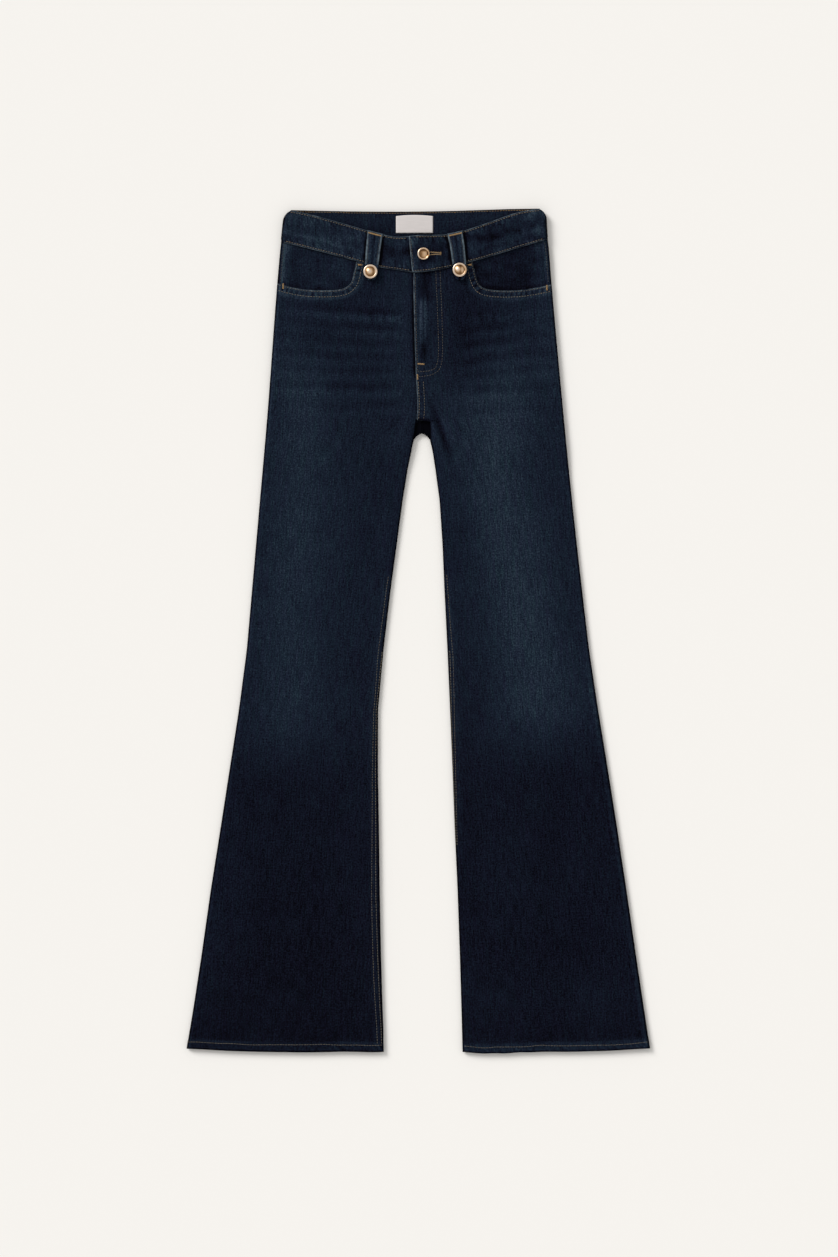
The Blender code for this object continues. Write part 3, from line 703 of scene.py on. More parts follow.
def stitched(name, rows, facing=1, width=THREAD_WIDTH):
    """All the stitches of some rows as one piece: small tubes, each closed at its two ends."""
    start, stop, tone = (np.concatenate(part) for part in zip(*rows))
    chance = np.random.default_rng(len(start))
    shift = chance.normal(0, 0.09 * MM, (2, len(start), 2))
    start[:, :2] += shift[0]
    stop[:, :2] += shift[1]
    tone = tone * chance.uniform(0.70, 1.15, len(start))
    run = stop - start
    length = np.linalg.norm(run, axis=1)
    over = np.stack([-run[:, 1], run[:, 0], 0 * length], -1) / np.hypot(run[:, 0], run[:, 1])[:, None]
    up = np.array((0, 0, facing))
    turn = (np.arange(TUBE_SIDES) * 2 * np.pi / TUBE_SIDES)[:, None]
    ring = np.cos(turn) * over[:, None, None] + 0.75 * np.sin(turn) * up
    ring = 0.5 * width * STITCH_THICK[:, None, None] * ring
    spine = (start + stop)[:, None] / 2 + STITCH_ALONG[:, None] * run[:, None]
    spine = spine + (STITCH_RISE + STITCH_HIGH[:, None] * width) * up
    tube = spine[:, :, None] + ring
    rings = len(STITCH_ALONG) - 2
    side_points = tube[:, 1:-1].reshape(len(start), rings * TUBE_SIDES, 3)
    points = np.concatenate([tube[:, 0, :1], side_points, tube[:, -1, :1]], 1)
    count = points.shape[1]
    near = np.arange(TUBE_SIDES)
    far = np.roll(near, -1)
    faces = [np.stack([0 * near, 1 + far, 1 + near], -1)]
    for ring_start in range(1, 1 + (rings - 1) * TUBE_SIDES, TUBE_SIDES):
        low, high = ring_start + near, ring_start + far
        next_low, next_high = low + TUBE_SIDES, high + TUBE_SIDES
        faces += [np.stack([low, high, next_high], -1), np.stack([low, next_high, next_low], -1)]
    last = count - 1 - TUBE_SIDES
    faces += [np.stack([last + near, last + far, 0 * near + count - 1], -1)]
    faces = np.concatenate(faces)[:, ::facing]
    all_faces = (faces + count * np.arange(len(start))[:, None, None]).reshape(-1, 3)
    made = mesh_object(name, points.reshape(-1, 3), all_faces, topstitch)
    spot = np.concatenate([[0.0], np.repeat(STITCH_ALONG[1:-1], TUBE_SIDES), [1.0]])
    about = np.concatenate([[0.0], np.tile(near / TUBE_SIDES, rings), [0.0]])
    thread = np.stack([spot * length[:, None] + 7 * start[:, :1], about + 0 * length[:, None]], -1)
    lay_map(made, "thread", thread.reshape(-1, 2), all_faces)
    paint(made, "tone", np.repeat(tone, count))
    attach(made, "root")
    return made


def down(line, low, high, inset):
    """A path that follows x = line(y) from low to high, moved over by inset."""
    y = np.arange(low, high, 2 * MM)
    return np.column_stack([line(y) + inset, y])


def over(line, low, high, inset):
    """A path that follows y = line(x) from low to high, moved up by inset."""
    x = np.arange(low, high, 2 * MM)
    return np.column_stack([x, line(x) + inset])


def height_of(surface, *side, drop=0.0):
    """A surface's height alone, for stitches to lie on, lowered by drop."""
    return lambda x, y: surface(*side, x, y)[0] - drop


def level_height(height):
    """A level height, for stitches to lie on."""
    return lambda x, y: height + 0 * x


for side, out in OUTWARD.items():
    back_height = height_of(back_surface, side)
    low, high = sorted((side_line[side](HEM_Y), back_inner[side](HEM_Y)))
    rows = [row(over(hem_line[side], low + 3 * MM, high - 3 * MM, HEM_DEPTH), back_height)]
    rows += [row(down(side_line[side], HEM_Y + 12 * MM, 0.36, -6 * MM * out), back_height, 0.7)]
    if side == "right":
        for inset in SEAT_ROWS:
            rows.append(row(down(back_inner[side], 0.27, 0.44, inset * out), back_height))
    stitched(f"back_topstitch_{side}", rows, facing=-1)


# ---- back yokes ---------------------------------------------------------------------------------
# A yoke on each side joins the back panel to the waistband: a shaped strip of the same twill,
# felled over the panel with two rows of topstitching.

for side, out in OUTWARD.items():
    share = crowded(48, 0.6)
    y = 0.49 + 0 * share
    for _ in range(3):
        ends = side_line[side](y), back_inner[side](y)
        x = min(ends, key=np.min) + abs(ends[1] - ends[0]) * share
        y = yoke_seam(x) + (back_seam(x) - yoke_seam(x)) * np.linspace(0, 1, 30)[:, None]
    z, wear_and_shade, edge = back_surface(side, x, y)
    above = y - yoke_seam(x)
    edge = np.minimum(edge, above + 0.6 * MM)
    flat = round_off(abs(x - side_line[side](y)), ROLL_WIDTH)
    z = z - 0.25 * MM * ease((9 * MM - above) / (2 * MM)) * flat
    yoke = cloth(f"back_yoke_{side}", x, y, z, wear_and_shade - 0.05, edge, facing=-1)

    yoke_height = height_of(back_surface, side, drop=0.2 * MM)
    low, high = sorted((side_line[side](0.48), back_inner[side](0.45)))
    rows = [row(over(yoke_seam, low + 4 * MM, high - 2 * MM, up), yoke_height) for up in PATCH_ROWS]
    if side == "right":
        for inset in SEAT_ROWS:
            rows.append(row(down(back_inner[side], 0.452, 0.512, inset * out), yoke_height))
    stitched(f"yoke_topstitch_{side}", rows, facing=-1)


# ---- back pockets -------------------------------------------------------------------------------
# Plain five-sided patches of the same twill, their edges turned in and sewn down with two rows of
# topstitching, and two more rows along the hemmed mouth.

POCKET_MIDDLE = {"right": (-0.099, 0.368), "left": (0.089, 0.368)}
POCKET_TOP, POCKET_FOOT = 0.0655, 0.0575
POCKET_HIGH, POCKET_LOW, POCKET_POINT = 0.0695, -0.0515, -0.0715
POCKET_MOUTH_ROWS = (2 * MM, 12 * MM)

for side in OUTWARD:
    middle_x, middle_y = POCKET_MIDDLE[side]
    u, v = np.meshgrid(crowded(44, 0.6) * 2 - 1, crowded(44, 0.6))
    low = POCKET_LOW + (POCKET_POINT - POCKET_LOW) * (1 - abs(u))
    up = low + (POCKET_HIGH - low) * v
    half = POCKET_FOOT + (POCKET_TOP - POCKET_FOOT) * (up - POCKET_LOW) / (POCKET_HIGH - POCKET_LOW)
    x = middle_x + u * half
    y = middle_y + up
    rim = np.minimum((1 - abs(u)) * half, np.minimum(up - low, POCKET_HIGH - up))
    z = 0.5 * MM * (1 - round_off(rim, 1.2 * MM)) + 0.12 * MM * swell(rim - 6 * MM, 3 * MM)
    ribs = drift(x, y, 6 * MM, 21)
    z = z + 0.05 * MM * (1 + ribs) * swell(rim, 9 * MM)
    wear_and_shade = 0.55 + 0.1 * ribs * swell(rim, 9 * MM) - 0.2 * swell(rim - 9 * MM, 2 * MM)
    wear_and_shade = wear_and_shade + 0.15 * swell(np.hypot(u, v - 0.5), 0.7)
    pocket = cloth(f"back_pocket_{side}", x, y, z, wear_and_shade, rim, facing=-1, thickness=1.0 * MM)

    pocket_under = level_height(0.10 * MM)
    rows = []
    for inset in PATCH_ROWS:
        top, foot = POCKET_TOP - inset, POCKET_FOOT - inset
        high, low, point = POCKET_HIGH - 1 * MM, POCKET_LOW + 0.9 * inset, POCKET_POINT + 1.03 * inset
        path = np.array(((-top, high), (-foot, low), (0, point), (foot, low), (top, high)))
        rows.append(row(path + POCKET_MIDDLE[side], pocket_under))
    for inset in POCKET_MOUTH_ROWS:
        reach_x, mouth_y = POCKET_TOP - 2 * MM, middle_y + POCKET_HIGH - inset
        rows.append(row([(middle_x - reach_x, mouth_y), (middle_x + reach_x, mouth_y)], pocket_under))
    stitched(f"pocket_topstitch_{side}", rows, facing=-1)


# ---- front panels -------------------------------------------------------------------------------
# Two front legs of dark twill lie over the back with a little air between, folded at the outseams
# and joined at the inseams.  The wearer's left one laps over the right at the fly, and each has a
# scooped pocket mouth that is faced, turned in and topstitched.  Thighs and knees are worn pale.

FRONT_COLUMNS = 118
FLY_LIFT, FLY_LEVEL, FLY_DOWN = 1.5 * MM, 5.0 * MM, 34.0 * MM
# How far in the two rows beside each inseam lie, from the hem up: y, outer row, inner row.
INSEAM_ROWS = {
    "right": np.array((
        (-550, 2.6, 8.1), (-464, 4.0, 10.5), (-358, 5.3, 11.0), (-318, 4.9, 10.2),
        (-132, 2.7, 6.2), (-92, 2.3, 5.3), (-39, 1.5, 6.6), (90, 1.5, 5.2),
    )) * MM,
    "left": np.array((
        (-300, 0.8, 2.2), (-132, 1.4, 5.0), (-65, 2.6, 6.6),
        (-39, 3.0, 7.0), (0, 3.0, 5.8), (90, 3.0, 3.6),
    )) * MM,
}
# How far in the left outseam's pale ridge lies: y in metres, and millimetres.
LEFT_RIDGE = np.array(((-0.55, 5.6), (-0.45, 5.6), (-0.35, 4.6), (-0.25, 5.8)))
HEM_ROW_DROP = {"right": 0.2 * MM, "left": 1.8 * MM}
MOUTH_ROWS = (1.7 * MM, 8.7 * MM)
MOUTH_BAND = 11.0 * MM
GROOVE = 0.25 * MM
# The pocket mouths' edges, from the waistband round to the side seam.
MOUTH = {
    "right": np.array((
        (-80.5, 508), (-82.4, 488), (-85.8, 475), (-88.2, 463.4), (-97.4, 454.6), (-117, 452.4),
        (-140, 452.7), (-160, 454.6), (-183, 460.4), (-205, 466.8),
    )) * MM,
    "left": np.array((
        (69.5, 508), (72.6, 488), (75.4, 477), (78.8, 463.4), (85.4, 455), (104, 452.2),
        (126, 452.2), (145, 453.8), (172, 459.2), (195, 464.8),
    )) * MM,
}
# The bar tacks at the mouths' two ends: the foot of the one at the side, and the waist's middle.
MOUTH_TACKS = {
    "right": np.array(((-179.5, 454.5), (-77.5, 486.5))) * MM,
    "left": np.array(((171, 452.5), (68.5, 486.5))) * MM,
}
# The fly ends at its foot, and its curved double row runs from the waistband to the centre line.
FLY_FOOT = 0.335
FLY_CURVE = np.array(((23.0, 482), (26.8, 400), (27.0, 352), (16, 345.2), (-1.5, 344.3))) * MM
FLY_CURVE_OUT = np.array(((28.8, 482), (32.3, 400), (32.4, 348.5), (16, 338.9), (-1.5, 337.7))) * MM
# Drag lines round the crotch: from, to, half width, height and how pale or dark.
DRAG_LINES = (
    ((14, 312), (45, 212), 4.2, -1.3, -0.50),
    ((8, 300), (30, 232), 4.0, 0.8, 0.12),
    ((24, 300), (58, 224), 5.0, 0.7, 0.12),
    ((-8, 300), (-34, 232), 6.0, 0.5, 0.10),
    ((-14, 292), (-50, 262), 4.0, -0.4, -0.12),
    ((-6, 322), (-60, 304), 6.0, 0.4, 0.08),
    ((34, 322), (84, 306), 6.0, 0.4, 0.10),
)
# Faint level creases over each hip: how strong, and how high at three places out from the middle.
WHISKER_X = np.array((50, 105, 155)) * MM
WHISKERS = {
    "right": ((1.4, 415, 418, 422), (0.9, 392, 396, 403), (0.9, 372, 376, 382), (0.9, 354, 355, 362),
              (0.8, 337, 336, 339), (1.0, 314, 316, 318), (0.7, 292, 288, 291)),
    "left": ((0.6, 408, 415, 420), (0.9, 386, 394, 404), (1.0, 368, 375, 384), (1.0, 344, 354, 359),
             (0.8, 331, 332, 340), (1.0, 306, 312, 315), (0.5, 278, 283, 285)),
}
# A worn thigh: the middle of its pale patch high and low on the leg, its half width and strength.
THIGH = {"right": (-0.157, -0.172, 0.052, 0.34), "left": (0.104, 0.150, 0.050, 0.47)}
# How pale the thigh's side and the hip are, and how dark the hip's dip and the shin.
OPEN_WEAR = {"right": (0.02, 0.07, 0.07, 0.17), "left": (0.10, 0.02, 0.17, 0.05)}

# How far the fronts' inner and upper edges lie off their solids' edges, told as for the backs.
CROTCH_CORNER = 0.2795
FRONT_EASE = {
    "right": np.concatenate([INSEAM_EASE["right"], ((CROTCH_CORNER, 0.0), (0.284, 2.5))]),
    "left": np.concatenate([
        INSEAM_EASE["left"],
        ((0.275, 0.0), (0.290, 1.4), (0.335, 1.0), (0.37, 1.1), (0.42, 1.3), (0.47, 0.3)),
    ]),
}
WAIST_SEAM_EASE = np.array((
    (-0.18, -2.8), (-0.03, -2.9), (-0.006, -4.4), (0.006, -4.0),
    (0.03, -3.6), (0.10, -2.8), (0.18, -2.8),
))

front_cut = {}
for side in OUTWARD:
    line = read_line((f"front_panel_{side}",), 0, side == "right", HEM_Y + 6 * MM, 0.476, 3 * MM)
    front_cut[side] = moved(line, FRONT_EASE[side])


def left_fold(y):
    """The left front's inner line, its crotch corner folded under, square to the centre seam."""
    corner = -3.2 + 19 * ease((CROTCH_CORNER + 1 * MM - y) / (2.5 * MM)) - 6 * ease((y - 0.30) / 0.03)
    return np.maximum(front_cut["left"](y), corner * MM)


front_inner = {"right": front_cut["right"], "left": left_fold}
front_bands = ("waistband_front_right", "waistband_front_left")
front_seam = read_line(front_bands, 1, False, waist_low + 4 * MM, waist_high - 4 * MM, 7 * MM)
front_seam = moved(front_seam, WAIST_SEAM_EASE)


def softened(points, times=4):
    """A path with its corners cut again and again, which rounds them; its ends stay."""
    for _ in range(times):
        near, far = points[:-1], points[1:]
        cut_in = np.stack([0.75 * near + 0.25 * far, 0.25 * near + 0.75 * far], 1)
        points = np.concatenate([points[:1], cut_in.reshape(-1, points.shape[1])[1:-1], points[-1:]])
    return points


def nearest_on(x, y, path):
    """For each place (a flat array), the way to it from the nearest point of a path.

    Also its distance, positive on the path's left, and how far along the path that point is.
    """
    step = np.diff(path, axis=0)
    length = np.hypot(*step.T)
    start = np.concatenate([[0], np.cumsum(length)[:-1]])
    place = np.stack([x, y], -1)[:, None] - path[:-1]
    share = np.clip((place * step).sum(-1) / length**2, 0, 1)
    off = place - share[..., None] * step
    gap = np.hypot(off[..., 0], off[..., 1])
    nearest = gap.argmin(1)
    pick = (np.arange(len(gap)), nearest)
    left = step[nearest, 0] * place[pick][:, 1] - step[nearest, 1] * place[pick][:, 0]
    distance = gap[pick] * np.where(left >= 0, 1, -1)
    return off[pick], distance, start[nearest] + share[pick] * length[nearest]


def near_box(x, y, path, margin):
    """Which places are within a margin of the box round a path."""
    low, high = path.min(0) - margin, path.max(0) + margin
    return (x > low[0]) & (x < high[0]) & (y > low[1]) & (y < high[1])


def measured(x, y, path, margin=14 * MM):
    """Distance from a path and how far along it; a large distance beyond the margin."""
    distance, along = np.full(np.shape(x), NO_EDGE), np.zeros(np.shape(x))
    close = near_box(x, y, path, margin)
    if close.any():
        distance[close], along[close] = nearest_on(x[close], y[close], path)[1:]
    return distance, along


mouth = {side: softened(path) for side, path in MOUTH.items()}
fly_rows = [softened(FLY_CURVE), softened(FLY_CURVE_OUT)]


def front_level(side, x, y):
    """The height of the seams, the height of the flat front, and how far each place is rolled."""
    outer = abs(x - side_line[side](y))
    inner = abs(x - front_inner[side](y))
    rest, air = eased(y, STACK_Y, STACK_REST), eased(y, STACK_Y, STACK_AIR)
    seam = seam_height(y) + 0.15 * MM
    level = rest + air + 2.4 * MM
    in_leg = 1 - ease((y - CROTCH_LOW) / (CROTCH_HIGH - CROTCH_LOW))
    flat = round_off(outer, ROLL_WIDTH) * (1 - in_leg * (1 - round_off(inner, ROLL_WIDTH)))
    return seam, level, flat, outer, inner, in_leg


def mouth_side(side, x, y):
    """How far each place is outside the pocket mouth's edge, and how far along the edge."""
    distance, along = measured(x, y, mouth[side], 60 * MM)
    turned = np.where(distance == NO_EDGE, distance, -distance)
    return (distance if side == "right" else turned), along


def inseam_marks(side, x, y, inner, in_leg):
    """The inseam's allowances make a low ridge, puckered where the felled rows run."""
    rowed = in_leg * ease((0.085 - y) / 0.03)
    if side == "left":
        rowed = rowed * ease((y + 0.30) / 0.06)
    ribs = puckers(y, 1.25, x, y, 3.5, 25, 11, 0.4, 18)
    ridge = 0.25 * ease((11 * MM - inner) / (2 * MM)) + 0.16 * ribs * swell(inner - 5.5 * MM, 5 * MM)
    pale = 0.16 * ribs * swell(inner - 5 * MM, 4.5 * MM)
    pale = pale + 0.06 * swell(inner - 5 * MM, 2.5 * MM) + 0.13 * swell(inner - 8.5 * MM, 3.8 * MM)
    # Painted shade darkens the rolled inner fold of each leg.
    return rowed * ridge * MM, rowed * pale - 0.9 * in_leg * swell(inner, 1.5 * MM)


def outseam_marks(side, x, y, outer, flat):
    """The outseam's allowances show as a soft ridge a finger's width in, rippled along the fold."""
    ripple = puckers(y, 1.9, x, y, 4, 30, 14, 0.5, 22)
    relief = 0.30 * ease((12 * MM - outer) / (4 * MM)) * flat
    relief = relief + 0.08 * ripple * swell(outer - 9 * MM, 7 * MM)
    # Painted shade darkens the rolled fold at the side.
    wear_and_shade = 0.10 * ripple * swell(outer - 9 * MM, 6 * MM) - 0.9 * swell(outer, 1.7 * MM)
    wear_and_shade = wear_and_shade + 0.17 * swell(outer - 3.7 * MM, 1.3 * MM)
    if side == "left":
        beside = outer - eased(y, LEFT_RIDGE[:, 0], LEFT_RIDGE[:, 1]) * MM
        shown = ease((0.02 - y) / 0.08) * (0.7 + 0.3 * drift(x, y, 20 * MM, 20, 3))
        ridge = shown * swell(beside, 2.3 * MM)
        relief = relief + 0.3 * ridge
        wear_and_shade = wear_and_shade + 0.30 * ridge * (1 + 0.5 * ripple) - 0.10 * shown * swell(beside - 4 * MM, 1.6 * MM)
    return relief * MM, wear_and_shade


def hem_marks(side, x, y, hem):
    """The hem is turned up twice, so it stands a little proud, and the machine's feed ropes it."""
    rope = puckers(x + 0.9 * hem, 1.5, x, y, 3, 26, 16, 0.45, 20)
    in_hem = ease((HEM_DEPTH + 1.5 * MM - hem) / (2 * MM))
    broken = ease(0.5 + 0.9 * drift(x, 0 * y, 14 * MM, 13))
    pale = 0.10 if side == "right" else 0.30
    # Painted shade darkens the hem's folded edge.
    wear_and_shade = (0.30 * rope + pale) * in_hem - 0.7 * swell(hem, 1.8 * MM)
    wear_and_shade = wear_and_shade + (0.06 + 0.26 * broken) * swell(hem - HEM_DEPTH - 2.0 * MM, 1.7 * MM)
    wear_and_shade = wear_and_shade - 0.07 * ease((hem - 12 * MM) / (3 * MM)) * ease((55 * MM - hem) / (40 * MM))
    return in_hem * (0.45 + 0.15 * rope) * MM, wear_and_shade


def crease_marks(side, x, y, outer):
    """Drag lines round the crotch, and the hip's whiskers, each a ridge with a trough above it."""
    relief, wear_and_shade = 0 * x, 0 * x
    for start, end, half_width, height, shade in DRAG_LINES:
        start, run = np.array(start) * MM, (np.array(end) - start) * MM
        length = np.hypot(*run)
        along = ((x - start[0]) * run[0] + (y - start[1]) * run[1]) / length
        off = ((x - start[0]) * run[1] - (y - start[1]) * run[0]) / length + 0.04 * along
        line = swell(off, half_width * MM) * np.sin(np.pi * np.clip(along / length, 0, 1))
        relief, wear_and_shade = relief + height * line, wear_and_shade + shade * line
    from_fly = (12 if side == "right" else 48) * MM
    for strength, *heights in WHISKERS[side]:
        line = eased(abs(x), WHISKER_X, np.array(heights)) * MM
        line = line + 1.5 * MM * drift(x, y * 0, 30 * MM, heights[0])
        fade = ease((abs(x) - from_fly) / (22 * MM)) * ease(outer / (10 * MM)) * strength
        fade = fade * (0.75 + 0.35 * drift(x, y, 40 * MM, heights[1]))
        fade = fade * (1 - 0.34 * ease((abs(x) - 0.10) / 0.05))
        ridge = fade * (swell(y - line, 5.2 * MM) - swell(y - line - 10 * MM, 5.2 * MM))
        relief, wear_and_shade = relief + 0.16 * ridge, wear_and_shade + 0.17 * ridge
    return relief * MM, wear_and_shade


def mouth_marks(side, x, y, beyond, along):
    """Three layers to the mouth's second row, puckered and dented between the rows, with painted shade
    in the dents, pale outside.
    """
    band = ease((MOUTH_BAND - beyond) / (2 * MM)) * ease(beyond / (0.8 * MM) + 0.35)
    pucker = puckers(along, 1.15, x, y, 3, 16, 18, 0.4, 13) * swell(beyond - 5.7 * MM, 3.2 * MM)
    grooves = sum(swell(beyond - at, 1.1 * MM) for at in MOUTH_ROWS)
    relief = 0.45 * band + 0.16 * pucker - 0.35 * swell(beyond, 0.8 * MM)
    rubbed = ease((15 * MM - beyond) / (4 * MM)) * ease(beyond / (1.5 * MM))
    dent_shade = ease(0.4 + 1.2 * puckers(along, 1.05, x, y, 1.5, 16, 28))
    wear_and_shade = 0.42 * pucker - 0.15 * grooves + (0.48 if side == "right" else 0.36) * rubbed
    # Painted shade in the dents between the rows.
    wear_and_shade = wear_and_shade - 0.75 * dent_shade * swell(beyond - 5.4 * MM, 2.0 * MM)
    return relief * MM - GROOVE * grooves, wear_and_shade


def fly_marks(x, y, fold, in_leg):
    """The left front's lap: lifted, with a rounded edge, the zip's marks, its rows' grooves and painted
    shadows.

    fold is the distance from the folded edge, and in_leg is 1 where the fronts part.
    """
    joined = 1 - in_leg
    opening = ease((y - FLY_FOOT) / 0.01)
    relief = FLY_LIFT * (1 - ease((x - FLY_LEVEL) / (FLY_DOWN - FLY_LEVEL))) * joined
    relief = relief - 0.9 * MM * (1 - round_off(fold, 1.4 * MM)) * joined
    # Painted shadow at the crotch corner, and painted shadows over the zip, high and low.
    wear_and_shade = -0.6 * swell(y - CROTCH_CORNER, 3 * MM) * ease((20 * MM - x) / (6 * MM))
    shadow = swell(x - 10 * MM, 8 * MM) * ease((y - 0.433) / 0.012)
    wear_and_shade = wear_and_shade - 0.44 * shadow - 0.46 * swell(x - 8 * MM, 5 * MM) * swell(y - 0.374, 0.016)
    wear_and_shade = wear_and_shade + 0.22 * swell(fold - 3.7 * MM, 2.2 * MM) * opening * (1 - shadow)

    # The zip's lower half presses the lap from behind and pales it beside its teeth.
    pressed = ease((y - 0.368) / 0.02) * ease((0.452 - y) / 0.02)
    relief = relief + 0.35 * MM * swell(x - 6.5 * MM, 4.5 * MM) * pressed
    stripes = swell(x - 3.6 * MM, 2.0 * MM) + 0.9 * swell(x - 9.3 * MM, 1.6 * MM)
    wear_and_shade = wear_and_shade + 0.95 * stripes * pressed * (0.6 + 0.4 * drift(x, y, 12 * MM, 24, 2))

    # The curved rows lie in grooves, with puckers inside the outer one, which comes last.
    for path in fly_rows:
        distance, along = measured(x, y, path)
        relief = relief - GROOVE * swell(distance, 1.1 * MM)
        wear_and_shade = wear_and_shade - 0.06 * swell(distance, 1.2 * MM)
    pucker = puckers(along, 1.2, x, y, 3, 15, 25) * swell(distance + 3.3 * MM, 2.6 * MM)
    relief, wear_and_shade = relief + 0.10 * MM * pucker, wear_and_shade + 0.12 * pucker

    # Below the fly's foot the centre seam is felled and ribbed.
    ribs = puckers(y, 1.2, x, y, 3, 15, 26) * swell(fold - 6 * MM, 4 * MM)
    ribs = ribs * ease((FLY_FOOT + 1 * MM - y) / 0.01) * joined
    return relief + 0.12 * MM * ribs, wear_and_shade + 0.14 * ribs


def painted_lap_shadow(y, beside):
    """Painted shadow on the right front beside the lap's edge, deeper along the fly's opening."""
    opening = ease((y - FLY_FOOT) / 0.01)
    shade = 0.14 * swell(beside + 5 * MM, 3.5 * MM) + 0.75 * swell(beside + 1.5 * MM, 1.6 * MM)
    shade = shade * (0.2 + 0.8 * opening - 0.4 * ease((y - 0.42) / 0.03)) * ease((y - 0.262) / 0.01)
    return 0 * y, -shade


def waist_marks(x, y):
    """Under the waistband the cloth dips into its seam, a little gathered, with painted shade just under
    the band.
    """
    under = front_seam(x) - y
    gather = puckers(x, 1.7, x, y * 0, 3, 22, 27)
    relief = 0.10 * gather * swell(under, 7 * MM) - 0.5 * ease(1 - under / (3 * MM))
    return relief * MM, 0.05 * gather * swell(under - 4 * MM, 6 * MM) - 0.14 * swell(under, 3 * MM)


def front_surface(side, x, y):
    """Height, wear with painted shade, and edge of a front.

    The level over the back and the air, rolled down to the seams, plus the reliefs of all the
    marks on it; wear rises on their ridges, the cloth is darker in their grooves, and painted
    shade lies along the rolled edges and beside and under other parts.
    """
    seam, level, flat, outer, inner, in_leg = front_level(side, x, y)
    beyond, along = mouth_side(side, x, y)
    edge = np.minimum(NO_EDGE, abs(beyond - 0.8 * MM) + 0.30 * MM)
    marks = [
        inseam_marks(side, x, y, inner, in_leg),
        outseam_marks(side, x, y, outer, flat),
        hem_marks(side, x, y, y - hem_line[side](x)),
        crease_marks(side, x, y, outer),
        mouth_marks(side, x, y, beyond, along),
        waist_marks(x, y),
    ]
    beside = x - front_inner["left"](y)
    if side == "left":
        fold = np.where(y > CROTCH_CORNER - 0.5 * MM, beside, NO_EDGE)
        edge = np.minimum(edge, fold + 0.2 * MM)
        marks.append(fly_marks(x, y, fold, in_leg))
    else:
        marks.append(painted_lap_shadow(y, beside))
    relief, wear_and_shade = (sum(part) for part in zip(*marks))
    height = seam + (level - seam) * flat + relief * (0.25 + 0.75 * flat)
    return height, wear_and_shade + front_wear(side, x, y), edge


def front_wear(side, x, y):
    """How worn the open cloth is: pale thighs, lighter hips, dark shins and drifting dye."""
    outer = abs(x - side_line[side](y))
    out = outer / (outer + abs(x - front_cut[side](y)))
    high, low, half_width, strength = THIGH[side]
    middle_line = high + (low - high) * ease((0.24 - y) / 0.34)
    glow = swell(x - middle_line, half_width) * ease((y + 0.205) / 0.12) * ease((0.41 - y) / 0.12)
    thigh = ease((y + 0.215) / 0.13)
    hip = ease((y - 0.29) / 0.06)
    at_side = ease((0.55 - out) / 0.5)
    side_pale, hip_pale, dip, shin_dark = OPEN_WEAR[side]
    wear_and_shade = 0.29 + thigh * (0.16 + side_pale * at_side) + glow * strength
    wear_and_shade = wear_and_shade + hip * (hip_pale + 0.09 * ease((0.30 - out) / 0.25) - dip * swell(out - 0.62, 0.20))
    wear_and_shade = wear_and_shade + hip * 0.10 * swell(out - 0.88, 0.12)
    wear_and_shade = wear_and_shade + 0.10 * swell(out - 0.85, 0.2) * swell(y - 0.29, 0.05)
    wear_and_shade = wear_and_shade - shin_dark * swell(y + 0.45, 0.14) * swell(out - 0.62, 0.42)
    return wear_and_shade + 0.05 * drift(x, y, 60 * MM, 31, 1.5) + 0.035 * drift(x, y, 22 * MM, 32, 2.5)


def snapped(x, y, keep, side):
    """The grid with the points along the cut mouth moved onto the mouth's edge."""
    path = mouth[side]
    touched = np.zeros(x.shape, int)
    for i in (0, 1):
        for j in (0, 1):
            touched[i : i + keep.shape[0], j : j + keep.shape[1]] += keep
    border = (touched > 0) & (touched < 4)
    border[[0, -1]] = False
    border[:, [0, -1]] = False
    border &= near_box(x, y, path, 6 * MM)
    off = nearest_on(x[border], y[border], path)[0]
    x, y = x.copy(), y.copy()
    x[border] -= off[:, 0]
    y[border] -= off[:, 1]
    return x, y


